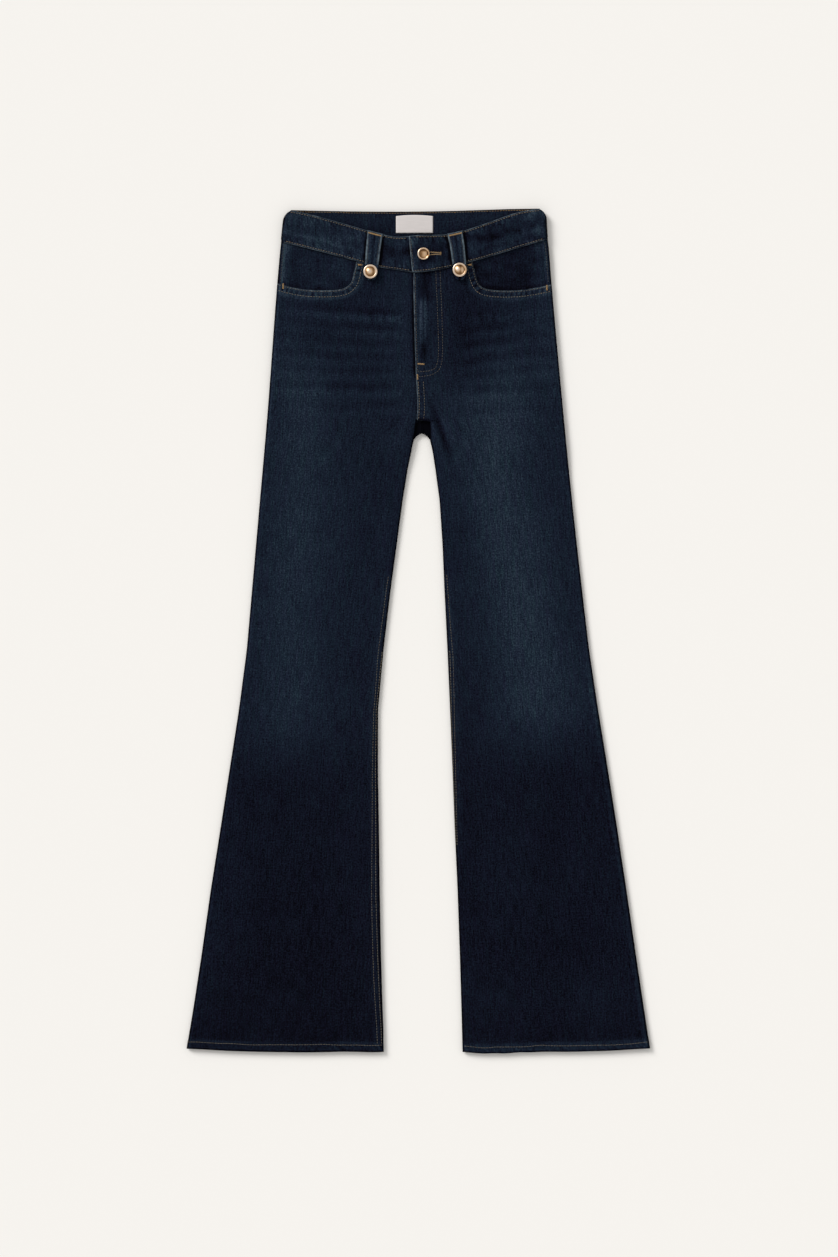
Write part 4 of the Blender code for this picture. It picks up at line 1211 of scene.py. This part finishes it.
for side, out in OUTWARD.items():
    rows = leg_rows(fine_above=0.20, fine=2.0 * MM, coarse=4.0 * MM, top=0.50, hem_step=1.2 * MM)
    x, y = leg_grid(side, front_inner[side], rows, FRONT_COLUMNS, lambda x: front_seam(x) + 3 * MM)
    middle_x, middle_y = ((a[:-1, :-1] + a[1:, 1:]) / 2 for a in (x, y))
    keep = mouth_side(side, middle_x, middle_y)[0] > 0
    x, y = snapped(x, y, keep, side)
    z, wear_and_shade, edge = front_surface(side, x, y)
    x, y, z, grain_y = hemmed(x, y, z, 1, z[0] - seam_height(y[0]))
    more = len(x) - len(wear_and_shade)
    wear_and_shade, edge = carried(wear_and_shade, more), carried(edge, more)
    edge[:more] = NO_EDGE
    wear_and_shade[:more] += 0.25 * (grain_y[more] - grain_y[:more] > 4 * MM)
    keep = np.pad(keep, ((more, 0), (0, 0)), constant_values=True)
    middle_line = (side_line[side](y) + front_cut[side](y)) / 2
    grain = (x - GRAIN_LEAN * middle_line, grain_y)
    panel = cloth(f"front_panel_{side}", x, y, z, wear_and_shade, edge, keep=keep, grain=grain)
    front_height = height_of(front_surface, side)

    # The mouth's double row stops short of the side's fold and of the waistband.
    path = mouth[side] if side == "right" else mouth[side][::-1]
    shown = abs(path[:, 0]) < abs(side_line[side](path[:, 1])) - 3.5 * MM
    path = path[shown & (path[:, 1] < front_seam(path[:, 0]) - 1 * MM)]
    run = np.gradient(path, axis=0)
    below = np.stack([-run[:, 1], run[:, 0]], -1) / np.hypot(*run.T)[:, None]
    rows = [row(path + below * at, front_height, tone) for at, tone in zip(MOUTH_ROWS, (0.45, 0.80))]
    stitched(f"mouth_topstitch_{side}", rows)
    side_end, waist_end = MOUTH_TACKS[side]
    rows = [tack(side_end, side_end + (0, 7 * MM), front_height)]
    rows += [tack(waist_end - (2.5 * MM, 0), waist_end + (2.5 * MM, 0), front_height)]
    stitched(f"mouth_tacks_{side}", rows)

    low, high = sorted((side_line[side](HEM_Y), front_inner[side](HEM_Y)))
    path = over(hem_line[side], low + 2 * MM, high - 2 * MM, HEM_DEPTH - HEM_ROW_DROP[side])
    path[:, 1] += 1.1 * MM * drift(path[:, 0], 0 * path[:, 0], 24 * MM, 41)
    stitched(f"hem_topstitch_{side}", [row(path, front_height, 0.50, length=3.2 * MM)])

    low = HEM_Y + 12 * MM if side == "right" else -0.285
    known, *insets = INSEAM_ROWS[side].T
    rows = []
    for inset, high, tone in zip(insets, (-0.025, 0.075), (0.72, 0.50)):
        path = down(front_inner[side], low, high, 0)
        path[:, 0] += out * np.interp(path[:, 1], known, inset)
        rows.append(row(path, front_height, tone))
    stitched(f"inseam_topstitch_{side}", rows)

fly_height = height_of(front_surface, "left")
rows = [row(down(left_fold, 0.345, 0.472, 2.4 * MM), fly_height, 0.30)]
rows += [row(path, fly_height, 0.36) for path in fly_rows]
for inset, tone in ((2.4 * MM, 0.75), (9.3 * MM, 0.55)):
    rows.append(row(down(left_fold, 0.2815, FLY_FOOT, inset), fly_height, tone))
stitched("fly_topstitch", rows)
rows = [tack((-0.8 * MM, 355 * MM), (8.2 * MM, 354.4 * MM), fly_height)]
rows += [tack((-1.0 * MM, 341 * MM), (-1.0 * MM, 334 * MM), fly_height)]
stitched("fly_tacks", rows)


# ---- hip facings --------------------------------------------------------------------------------
# Behind each scooped mouth a facing of the same twill carries on up to the waistband, flat under
# the front and caught in the side seam, where one row of topstitching runs down it.

FACING_DROP = 1.7 * MM
FACING_LOW = 0.441
FACING_INNER = {"right": -0.072, "left": 0.062}


def facing_surface(side, x, y):
    """The front's level without its reliefs, a cloth's thickness lower, with soft ripples."""
    seam, level, flat, outer = front_level(side, x, y)[:4]
    ripple = drift(x, y, 16 * MM, 51, 0.6)
    beyond = mouth_side(side, x, y)[0]
    height = seam + (level - FACING_DROP - seam) * flat + 0.2 * MM * ripple * flat
    height = height + 0.25 * MM * ease((9 * MM - outer) / (2 * MM)) * flat
    # Painted shade darkens the rolled side fold.
    wear_and_shade = 0.54 + 0.16 * ripple - 0.9 * swell(outer, 1.6 * MM)
    if side == "right":
        wear_and_shade = wear_and_shade + 0.72 * swell(outer - 6.0 * MM, 2.6 * MM) + 0.26 * swell(outer - 11 * MM, 4.5 * MM)
        wear_and_shade = wear_and_shade + 0.04 * swell(front_seam(x) - y, 5 * MM)
    else:
        wear_and_shade = wear_and_shade + 0.42 * swell(outer - 5.4 * MM, 2.4 * MM) - 0.14 * swell(outer - 9.2 * MM, 1.2 * MM)
        wear_and_shade = wear_and_shade + 0.14 * swell(outer - 13 * MM, 4 * MM) - 0.26 * ease((outer - 12 * MM) / (20 * MM))
        wear_and_shade = wear_and_shade + 0.16 * swell(front_seam(x) - y, 5 * MM)
    # Painted shadow on the facing near the front's mouth edge.
    return height, wear_and_shade - 0.24 * ease((beyond + 9 * MM) / (9 * MM))


for side, out in OUTWARD.items():
    share = crowded(72, 0.6)
    y = 0.47 + 0 * share
    for _ in range(3):
        below = ease((mouth[side][-8, 1] - 4 * MM - y) / (5 * MM))
        ends = (side_line[side](y) - out * 1.6 * MM * below, FACING_INNER[side])
        low, high = ends if side == "right" else ends[::-1]
        x = low + (high - low) * share
        top = front_seam(x) + 3 * MM
        y = FACING_LOW + (top - FACING_LOW) * np.linspace(0, 1, 44)[:, None]
    facing = cloth(f"hip_facing_{side}", x, y, *facing_surface(side, x, y), NO_EDGE)
    path = down(side_line[side], 0.463, 0.519, -4.2 * MM * out)
    stitched(f"facing_topstitch_{side}", [row(path, height_of(facing_surface, side), 0.22)])


# ---- zip ----------------------------------------------------------------------------------------
# A plain brass zip on its tape lies hidden behind the fly.  Its strip keeps its place, and its
# rows of teeth are worked into its finish.

ZIP_BRASS = (0.44, 0.33, 0.16)
ZIP_TAPE = (0.020, 0.026, 0.045)
TOOTH_PITCH = 2.0 * MM


def zip_finish():
    """Brass teeth across the middle of a dark woven tape: bands along Y inside a narrow strip."""
    finish = Finish("zip_metal")
    place = finish.node("ShaderNodeTexCoord", {}, {}, out="Object")
    x, y = finish.parts(place)
    off = x - 2 * MM
    centre = off.math("ABSOLUTE", off)
    bands = (y * (2 * np.pi / TOOTH_PITCH)).sine().between(-0.5, 0.2)
    teeth = centre.between(2.6 * MM, 2.2 * MM) * bands
    rib = (y * (2 * np.pi / (0.6 * MM))).sine()
    finish.set(Base_Color=finish.mix(ZIP_TAPE, ZIP_BRASS, teeth), Metallic=teeth)
    finish.set(Roughness=0.8 - teeth * 0.45, Normal=finish.bump(teeth * 4 + rib * 0.3, 0.2 * MM, 0.5))
    return finish.material


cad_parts["zip"].material_slots[0].material = zip_finish()


# ---- waistbands ---------------------------------------------------------------------------------
# A folded band of twill with stiffening between: one piece across the back, whose inside shows,
# and two across the front, the wearer's left one lapping over the right.  Each is topstitched
# along both its edges and puckers between the stitches.

BAND = 2.5 * MM
BAND_EDGE = 2.0 * MM
BAND_DIP = 1.1 * MM
BAND_LEVEL = 9.5 * MM
BAND_CORNER = 13 * MM
BAND_SIDE_SEAM = 5.9 * MM
BACK_BAND_HIGH = 5.2 * MM
BAND_ROW = 2.3 * MM
LAP_LIFT, LAP_LEVEL, LAP_DOWN = 2.9 * MM, 24 * MM, 36 * MM
UNDERLAP_X = 10.5 * MM
# A front loop's middle and width at each height, from its tip to the band's top.
LOOP_Y = np.array((465.0, 467.5, 472, 479, 490, 510, 524, 531)) * MM
LOOP_MIDDLE = {
    "right": np.array((-62.5, -62.5, -62.4, -62.0, -61.5, -59.5, -57.7, -57.0)) * MM,
    "left": np.array((55.0, 55.0, 55.0, 54.8, 54.3, 52.0, 49.4, 48.4)) * MM,
}
LOOP_WIDTH = np.array((6, 13.4, 17.8, 18.4, 18.8, 20.0, 20.8, 21.2)) * MM
# The free end of the left band, from the top to the seam.
LAP_TOP, LAP_FOOT = (-12.8 * MM, 525.4 * MM), (-8.0 * MM, 476.0 * MM)
# Where the top line's height is read for a band's corner, and where its rows begin and end.
CORNER_X = {"right": -0.165, "left": 0.160}
BAND_ROW_ENDS = {"right": (-0.176, -0.010), "left": (-0.009, 0.166)}
BAND_FOOT_TONE = {"right": 0.90, "left": 0.78}


def top_line(*names, lift=0.0):
    """The bands' top line, level beyond the places where their corners begin."""
    low, high = waist_low + BAND_CORNER, waist_high - BAND_CORNER
    line = read_line(names, 1, True, low, high, 7 * MM)
    return lambda x: line(np.clip(x, low, high)) + lift


band_top, back_top = top_line(*front_bands), top_line("waistband_back", lift=0.7 * MM)


def rounded_side(side, top):
    """A band's side edge: the side line, drawn in round a corner's radius below the top line."""
    corner_top = top(CORNER_X[side])

    def edge(y):
        up = np.clip(y - corner_top + BAND_CORNER, 0, 0.93 * BAND_CORNER)
        inward = BAND_CORNER - np.sqrt(BAND_CORNER**2 - up**2)
        return side_line[side](y) - OUTWARD[side] * inward

    return edge


def lap_end(y):
    """The x of the left band's free end, a straight line with its corners a little rounded."""
    share = (y - LAP_FOOT[1]) / (LAP_TOP[1] - LAP_FOOT[1])
    to_end = np.clip(1 - np.minimum(share, 1 - share) / 0.08, 0, 1)
    corner = 1.2 * MM * to_end**2
    return LAP_FOOT[0] + (LAP_TOP[0] - LAP_FOOT[0]) * share + corner


def band_grid(low, high, foot, top, columns, rows):
    """x and y of a band's points: rows between its foot and top lines, columns between its ends."""
    share = crowded(columns, 0.35)
    level = crowded(rows, 0.55)[:, None]
    y = 0.51 + 0.03 * level + 0 * share
    for _ in range(5):
        first, last = low(y), high(y)
        x = first + (last - first) * share
        y = foot(x) + (top(x) - foot(x)) * level
    return x, y


def loop_shape(side, y):
    """A front loop's middle and half its width, at each height."""
    return np.interp(y, LOOP_Y, LOOP_MIDDLE[side]), np.interp(y, LOOP_Y, LOOP_WIDTH) / 2


def band_surface(side, x, y):
    """Height, wear with painted shade, and edge of the front band.

    Its level, lifted where the left end laps over the right; rounded long edges; grooves under
    the two rows of stitches, and puckers that lean between them.  Painted shadows lie beside the
    loops, beside the lap's end and round the button, and painted shade on the rolled side.
    """
    up, down_from = y - front_seam(x), band_top(x) - y
    outer = abs(x - side_line[side](y))
    flat = round_off(outer, 7 * MM)
    beside_lap = x - lap_end(y)
    rim, lift = np.minimum(up, down_from), 0.0
    if side == "left":
        rim = np.minimum(rim, beside_lap)
        lift = LAP_LIFT * (1 - ease((x - LAP_LEVEL) / (LAP_DOWN - LAP_LEVEL)))
    lean = x + 0.5 * up
    beside = swell(rim - 6 * MM, 4 * MM)
    pucker = puckers(lean, 1.15, x, y, 3.5, 17, 61, 0.45, 14) * beside
    at_rows = swell(rim - BAND_ROW, 1.0 * MM)
    middle_wave = 0.6 * drift(x, y, 11 * MM, 63, 0.8) + 0.6 * drift(x, y, 5.5 * MM, 66, 1.2)
    height = BAND_LEVEL - BAND_DIP * (1 - round_off(rim, BAND_EDGE)) - 0.22 * MM * at_rows
    height = height + 0.16 * MM * pucker + 0.14 * MM * middle_wave
    height = BAND_SIDE_SEAM + 0.15 * MM + (height - BAND_SIDE_SEAM) * flat + lift
    fine = puckers(lean, 0.75, x, y, 3, 11, 64) * swell(rim - BAND_ROW, 2.4 * MM)
    wear_and_shade = 0.60 + 0.30 * pucker + 0.32 * middle_wave - 0.20 * at_rows + 0.09 * beside
    wear_and_shade = wear_and_shade + 0.30 * fine * ease(0.6 + drift(x, y, 20 * MM, 65))
    across = x / 0.18
    if side == "right":
        wear_and_shade = wear_and_shade + 0.16 * swell(across + 0.72, 0.35)
        wear_and_shade = wear_and_shade + 0.16 * swell(up - 15 * MM, 3 * MM) * ease((-0.4 - across) / 0.1)
        wear_and_shade = wear_and_shade - 0.38 * swell(x + 32 * MM, 22 * MM) * swell(up - 23.5 * MM, 8 * MM)
        # Painted shadow on the right band beside the left band's lapped end.
        wear_and_shade = wear_and_shade - 0.08 * swell(beside_lap + 5 * MM, 5 * MM) - 0.10 * swell(up - 8 * MM, 3.5 * MM)
        wear_and_shade = wear_and_shade - 0.5 * swell(beside_lap, 1.8 * MM)
    else:
        wear_and_shade = wear_and_shade - 0.20 * swell(across - 0.42, 0.24) + 0.12 * swell(across - 0.92, 0.16)
        wear_and_shade = wear_and_shade + 0.18 * swell(up - 17 * MM, 4 * MM) * ease((across - 0.4) / 0.1)
        wear_and_shade = wear_and_shade - 0.16 * swell(up - 26 * MM, 6 * MM) * ease((across - 0.4) / 0.1)
        # Painted shadow round the button.
        wear_and_shade = wear_and_shade - 0.30 * swell(np.hypot(x - 7 * MM, y - 0.5), 15 * MM)
        wear_and_shade = wear_and_shade - 0.16 * swell(x - 30 * MM, 14 * MM)
        ends_pale = swell(abs(up - 22 * MM) - 17 * MM, 8 * MM)
        wear_and_shade = wear_and_shade + 0.35 * swell(beside_lap - 4 * MM, 4 * MM) * ends_pale
        wear_and_shade = wear_and_shade + 0.22 * swell(beside_lap - 2.5 * MM, 2 * MM)
    loop_middle, loop_half = loop_shape(side, y)
    gap = abs(x - loop_middle) - loop_half
    # Painted shadow beside each loop, deeper on its right, and painted shade on the rolled side.
    shade = np.where(x > loop_middle, 1.3, 0.9) * swell(gap - 0.4 * MM, 2.4 * MM)
    wear_and_shade = wear_and_shade - shade - 0.9 * swell(outer, 1.6 * MM)
    edge = np.minimum(up, down_from) + 0.5 * MM * (1 + drift(x, y, 9 * MM, 67))
    if side == "left":
        edge = np.minimum(edge, beside_lap)
    edge = NO_EDGE - (NO_EDGE - edge) * ease(outer / (4 * MM))
    return height, wear_and_shade, edge


band_ends = {
    "right": (rounded_side("right", band_top), lambda y: UNDERLAP_X + 0 * y),
    "left": (lap_end, rounded_side("left", band_top)),
}
for side, ends in band_ends.items():
    x, y = band_grid(*ends, front_seam, band_top, 190, 46)
    band = cloth(f"waistband_front_{side}", x, y, *band_surface(side, x, y), thickness=BAND)
    band_height = height_of(band_surface, side)
    low, high = BAND_ROW_ENDS[side]
    rows = [row(over(front_seam, low, high, BAND_ROW), band_height, BAND_FOOT_TONE[side])]
    rows += [row(over(band_top, low + 6 * MM, high - 4 * MM, -BAND_ROW), band_height, 0.85)]
    if side == "left":
        rows += [row(down(lap_end, 0.4825, 0.5215, BAND_ROW), band_height, 0.40)]
    stitched(f"band_topstitch_{side}", rows)

def back_band_surface(x, y):
    """Height, wear with painted shade, and edge of the back band's inside: level, with rounded edges and
    ripples.
    """
    outer = np.minimum(abs(x - side_line["right"](y)), abs(x - side_line["left"](y)))
    rim = np.minimum(y - back_seam(x), back_top(x) - y)
    pucker = puckers(x, 1.3, x, y, 3.5, 17, 71, 0.5, 14) * swell(rim - 5 * MM, 4 * MM)
    height = BACK_BAND_HIGH - 0.9 * MM * (1 - round_off(rim, BAND_EDGE))
    height = height - 0.2 * MM * swell(rim - 3 * MM, MM)
    height = height + 0.14 * MM * pucker + 0.12 * MM * drift(x, y, 15 * MM, 73)
    height = height + (BAND_SIDE_SEAM - 0.15 * MM - BACK_BAND_HIGH) * (1 - round_off(outer, 7 * MM))
    drop = back_top(x) - y
    # Painted shade darkens the rolled top edge and the rolled sides.
    wear_and_shade = 0.50 + 0.10 * pucker + 0.06 * drift(x, y, 20 * MM, 74) - 0.9 * swell(drop, 1.3 * MM)
    wear_and_shade = wear_and_shade - 0.10 * ease((drop - 12 * MM) / (14 * MM)) - 0.9 * swell(outer, 2.1 * MM)
    return height, wear_and_shade, NO_EDGE + 0 * x


ends = rounded_side("right", back_top), rounded_side("left", back_top)
x, y = band_grid(*ends, back_seam, back_top, 230, 40)
band = cloth("waistband_back", x, y, *back_band_surface(x, y), thickness=BAND)

low, high = waist_low + BAND_CORNER, waist_high - BAND_CORNER
rows = [row(over(back_top, low, high, -2.0 * MM), height_of(back_band_surface), 1.2)]
stitched("band_topstitch_back", rows)
under_band = height_of(back_band_surface, drop=BAND)
rows = [row(over(back_top, low, high, -3.2 * MM), under_band)]
rows += [row(over(back_seam, waist_low + 6 * MM, waist_high - 6 * MM, 2.4 * MM), under_band)]
stitched("band_topstitch_outside", rows, facing=-1)


# ---- label --------------------------------------------------------------------------------------
# A folded tab of plain off-white satin ribbon, sewn at its two ends to the inside of the back
# band.  It is left bare.

LABEL_SATIN = (0.640, 0.595, 0.575)
LABEL_RISE = 1.3 * MM
# How far its top edge lies below its solid's, and how far that edge bows up in the middle.
LABEL_DROP, LABEL_BOW = 2.8 * MM, 1.5 * MM


def satin_finish():
    """Off-white satin: a fine rib across, a faint slub, and a soft gloss."""
    finish = Finish("label_cloth")
    place = finish.node("ShaderNodeUVMap", {"uv_map": "grain"})
    rib = (finish.parts(place)[1] * (2 * np.pi / (0.45 * MM))).sine()
    slub = finish.noise(place, (60, 900, 1))
    shade = finish.mix([0.93 * c for c in LABEL_SATIN], [1.05 * c for c in LABEL_SATIN], slub)
    finish.set(Base_Color=shade, Normal=finish.bump(rib + slub, 0.06 * MM, 0.4))
    finish.set(Roughness=0.5, Specular_IOR_Level=0.25)
    return finish.material


low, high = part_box("label")
u, v = np.meshgrid(np.linspace(0, 1, 50), np.linspace(0, 1, 26))
width, length = high.x - low.x, high.y - low.y
x = low.x + width * u
y = low.y + (length - LABEL_DROP + LABEL_BOW * (1 - (2 * u - 1) ** 2)) * v
rim = np.minimum(np.minimum(u, 1 - u) * width, np.minimum(v, 1 - v) * length)
z = BACK_BAND_HIGH + LABEL_RISE - 0.5 * MM * (1 - round_off(rim, 1.4 * MM))
z = z + 0.12 * MM * drift(x, y, 12 * MM, 81) + 0.35 * MM * np.sin(np.pi * u) * (1 - v)
label = cloth("label", x, y, z, 0.5, NO_EDGE, thickness=0.7 * MM)
label.data.materials[0] = satin_finish()


# ---- belt loops ---------------------------------------------------------------------------------
# Two wide front loops, folded double with a groove down the middle, sewn over the band's top edge
# and tapering to a rounded tip that a stud holds; and three plain narrow ones on the back.

LOOP = 2.2 * MM
LOOP_LEVEL = 12.3 * MM
LOOP_GROOVE = 0.5 * MM
LOOP_OVER = 0.8 * MM
BACK_LOOP_ROW = 3 * MM


def loop_surface(side, x, y):
    """Height, wear with painted shade, and edge of a front loop: two puffed folds beside a groove,
    rounded edges.
    """
    middle_line, half = loop_shape(side, y)
    off = abs(x - middle_line)
    rim = np.minimum(half - off, y - LOOP_Y[0])
    top = band_top(x) + LOOP_OVER - y
    height = LOOP_LEVEL - 1.0 * MM * (1 - round_off(rim, 1.8 * MM))
    height = height - LOOP_GROOVE * swell(off, 1.5 * MM) - 0.25 * MM * swell(off - half + 3.4 * MM, MM)
    height = height - 3.2 * MM * (1 - round_off(top, 3.2 * MM))
    wave = drift(x, y, 9 * MM, 91, 1.2)
    height = height + 0.12 * MM * wave
    # Painted shade in the needle holes beside each row.
    needle_hole_shade = swell(np.sin(y * np.pi / STITCH_PITCH), 0.5) * swell(off - half + 3.2 * MM, 0.8 * MM)
    wear_and_shade = 0.78 if side == "right" else 0.58
    wear_and_shade = wear_and_shade + 0.18 * wave - 0.34 * swell(off, 1.5 * MM) + 0.16 * swell(off - 3.2 * MM, 1.6 * MM)
    # Painted shade at the tip under the stud, and along the rounded rim.
    wear_and_shade = wear_and_shade + 0.35 * swell(off - half + 2.6 * MM, 1.8 * MM) - 0.4 * ease((0.476 - y) / (5 * MM))
    wear_and_shade = wear_and_shade - 0.35 * needle_hole_shade - 0.8 * swell(rim, 0.6 * MM)
    turned = abs(rim - 1.3 * MM) + 0.1 * MM
    return height, wear_and_shade, np.minimum(turned, top) + 9 * MM * ease((0.488 - y) / (8 * MM))


for side in OUTWARD:
    u, v = np.meshgrid(crowded(36, 0.5) * 2 - 1, crowded(70, 0.4))
    y = LOOP_Y[0] + (LOOP_Y[-1] - LOOP_Y[0]) * v
    for _ in range(4):
        loop_middle, loop_half = loop_shape(side, y)
        x = loop_middle + u * loop_half
        y = LOOP_Y[0] + (band_top(x) + LOOP_OVER - LOOP_Y[0]) * v
    loop = cloth(f"belt_loop_front_{side}", x, y, *loop_surface(side, x, y), thickness=LOOP)
    loop_height = height_of(loop_surface, side)
    y = np.arange(0.488, 0.520, 2 * MM)
    loop_middle, loop_half = loop_shape(side, y)
    rows = []
    for hand in (-1, 1):
        path = np.column_stack([loop_middle + hand * (loop_half - 3.4 * MM), y])
        rows.append(row(path, loop_height, 0.12))
    x = LOOP_MIDDLE[side][-2] + np.array((-8.6, 8.6)) * MM
    rows.append(tack(*np.column_stack([x, band_top(x) - 2.6 * MM]), loop_height))
    stitched(f"loop_topstitch_{side}", rows)

for name in ("right", "centre", "left"):
    low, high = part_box(f"belt_loop_back_{name}")
    u, v = np.meshgrid(crowded(14, 0.4), crowded(40, 0.5))
    centre_x = (low.x + high.x) / 2
    x = low.x + (high.x - low.x) * u
    y = low.y + (high.y - low.y) * v
    off = abs(x - centre_x)
    rim = (high.x - low.x) / 2 - off
    z = 0.15 * MM + 0.6 * MM * (1 - round_off(rim, 1.4 * MM)) + 0.25 * MM * swell(rim - 3 * MM, 0.8 * MM)
    z = z + 0.5 * MM * (1 - ease(np.minimum(y - low.y, high.y - y) / (4 * MM)))
    wear_and_shade = 0.5 + 0.1 * drift(x, y, 8 * MM, 95) - 0.15 * swell(rim - 3 * MM, 1 * MM)
    loop = cloth(f"belt_loop_back_{name}", x, y, z, wear_and_shade, rim, facing=-1, thickness=1.8 * MM)
    loop_under = level_height(0.15 * MM)
    rows = []
    for x in (centre_x - BACK_LOOP_ROW, centre_x + BACK_LOOP_ROW):
        rows.append(row([(x, low.y + 4 * MM), (x, high.y - 4 * MM)], loop_under))
    for y in (low.y + 2.2 * MM, high.y - 2.2 * MM):
        rows.append(tack((low.x + 1 * MM, y), (high.x - 1 * MM, y), loop_under, 1.8 * MM))
    stitched(f"back_loop_topstitch_{name}", rows, facing=-1)


# ---- studs and waist button ---------------------------------------------------------------------
# Pressed brass shells with an antique copper-gold plating: two domed studs with a flat rim, and a
# dished button with a rolled rim.  Dark patina stays in the hollows.
# Painted highlights and painted reflections lie over the plating too.

# The plating's colour as its painted value rises: polished pale and painted highlight, plain, and dark
# in the hollows and painted dark reflection.
PLATING = (
    (0.00, (0.860, 0.700, 0.560)),
    (0.30, (0.760, 0.500, 0.290)),
    (0.60, (0.300, 0.160, 0.070)),
    (1.00, (0.045, 0.020, 0.008)),
)
TURN_STEPS = 64
# How far each one hangs below its solid's middle, where it pulls the cloth down.
TRIM_SAG = {"stud_right": 1.8 * MM, "stud_left": 1.5 * MM, "waist_button": 1.3 * MM}
# Half profiles from the middle out: radius, height over the piece's foot, and tarnish: patina in the
# hollows, with dark and pale rings of painted reflection.
STUD_PROFILE = np.array((
    (0.0, 3.00, 0.45), (1.6, 2.92, 0.45), (3.2, 2.60, 0.52), (4.6, 2.05, 0.62), (5.8, 1.25, 0.66),
    (6.3, 0.72, 0.75), (6.8, 0.75, 0.40), (7.5, 1.05, 0.04), (8.5, 1.05, 0.0), (9.1, 0.78, 0.05),
    (9.4, 0.35, 0.6), (9.4, 0.0, 0.9),
))
BUTTON_PROFILE = np.array((
    (0.0, 2.55, 0.38), (1.6, 2.50, 0.38), (3.0, 2.32, 0.40), (4.3, 2.10, 0.46), (5.0, 2.05, 0.62),
    (5.5, 2.30, 0.70), (6.1, 3.05, 0.30), (6.8, 3.50, 0.10), (7.5, 3.45, 0.12), (8.0, 3.0, 0.30),
    (8.25, 2.2, 0.5), (8.2, 1.2, 0.8), (7.6, 0.5, 0.9), (7.0, 0.0, 0.9),
))
# Painted highlights and painted dark reflections on each one: x, y, half widths along x and y, and how
# much, below 0 for a highlight.
HIGHLIGHTS_AND_REFLECTIONS = {
    "stud_right": ((-1.3, 0.2, 3.4, 3.0, -0.55), (3.9, 0.5, 1.5, 4.0, 0.16), (6.2, 0, 1.6, 4.0, -0.35)),
    "stud_left": (
        (-2.8, 0.6, 3.4, 2.8, -0.60), (0.7, 0.5, 1.2, 6.0, 0.22), (4.2, -0.5, 2.0, 4.6, -0.42),
        (1.5, 5.4, 4.5, 1.6, 0.12), (7.6, -1.0, 2.4, 6.5, 0.30),
    ),
    "waist_button": (
        (-3.4, -0.5, 2.4, 4.2, 0.26), (0, 4.4, 3.6, 1.8, 0.30), (1.8, -0.8, 2.6, 4.4, -0.16),
        (6.0, -0.8, 1.0, 4.4, 0.60), (-6.9, 1.0, 1.4, 3.0, -0.35),
    ),
}


def plating_finish():
    """Copper-gold with its tarnish, painted highlights and painted reflections laid on, fine scuffs and
    soft brushed grain.
    """
    finish = Finish("trim_metal")
    place = finish.node("ShaderNodeTexCoord", {}, {}, out="Object")
    scuff = finish.noise(place, (900, 900, 900), 3, 0.6, "3D")
    blotch = finish.noise(place, (260, 260, 260), 2, 0.5, "3D")
    dark = finish.painted("tarnish_and_reflection") + (blotch - 0.5) * 0.16 + (scuff - 0.5) * 0.14
    finish.set(Base_Color=finish.ramp(PLATING, dark), Metallic=1.0)
    finish.set(Roughness=0.34, Normal=finish.bump(scuff, 0.03 * MM, 0.3))
    return finish.material


plating = plating_finish()


def turned_piece(name, profile):
    """A half profile, smoothed and swept round the upright axis just below the CAD piece's middle."""
    low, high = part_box(name)
    curve = softened(np.column_stack([profile[:, :2] * MM, profile[:, 2]]), 2)[1:]
    angle = np.arange(TURN_STEPS) * 2 * np.pi / TURN_STEPS
    radius, height, tarnish_and_reflection = curve.T[:, :, None] + 0 * angle
    off_x, off_y = radius * np.cos(angle), radius * np.sin(angle)
    # Painted highlights and painted dark reflections, added to the tarnish.
    for at_x, at_y, wide, tall, change in HIGHLIGHTS_AND_REFLECTIONS[name]:
        tarnish_and_reflection = tarnish_and_reflection + change * swell(off_x / MM - at_x, wide) * swell(off_y / MM - at_y, tall)
    middle_x, middle_y = (low.x + high.x) / 2, (low.y + high.y) / 2 - TRIM_SAG[name]
    rings = np.stack([middle_x + off_x, middle_y + off_y, low.z + height], -1).reshape(-1, 3)
    centre = np.array([(middle_x, middle_y, low.z + profile[0, 1] * MM)])
    foot = np.array([(middle_x, middle_y, low.z)])
    near = np.arange(TURN_STEPS)
    far = np.roll(near, -1)
    top, bottom = len(rings), len(rings) + 1
    last = top - TURN_STEPS
    faces = [np.stack([near, far, 0 * near + top], -1)]
    for first in range(0, last, TURN_STEPS):
        low_near, low_far = first + TURN_STEPS + near, first + TURN_STEPS + far
        faces += [np.stack([first + near, low_near, low_far], -1)]
        faces += [np.stack([first + near, low_far, first + far], -1)]
    faces += [np.stack([last + far, last + near, 0 * near + bottom], -1)]
    points = np.concatenate([rings, centre, foot])
    made = mesh_object(f"{name}_shell", points, np.concatenate(faces), plating)
    paint(made, "tarnish_and_reflection", np.concatenate([tarnish_and_reflection.ravel(), [tarnish_and_reflection[0].mean()], profile[-1:, 2]]))
    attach(made, "root")
    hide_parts(name)


turned_piece("stud_right", STUD_PROFILE)
turned_piece("stud_left", STUD_PROFILE)
turned_piece("waist_button", BUTTON_PROFILE)

# The buttonhole: packed stitches round a slit that runs from under the button to its bar.
HOLE_Y = 501.2 * MM
HOLE_END = 29.5 * MM
HOLE_HALF = 1.8 * MM

lap_height = height_of(band_surface, "left")
x = np.linspace(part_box("waist_button")[1].x - 1.5 * MM, HOLE_END, 12)
hole = []
for hand in (-1, 1):
    path = np.column_stack([x, HOLE_Y + hand * (HOLE_HALF - 0.06 * (x - x[0]))])
    hole.append(row(path, lap_height, 1.15, 0.6 * MM, 1.5 * MM, crosswise=True))
bar = np.array(((HOLE_END + 0.5 * MM, HOLE_Y - 2 * MM), (HOLE_END + 0.5 * MM, HOLE_Y + 2 * MM)))
hole.append(tack(*bar, lap_height, 1.6 * MM))
stitched("buttonhole", hole)
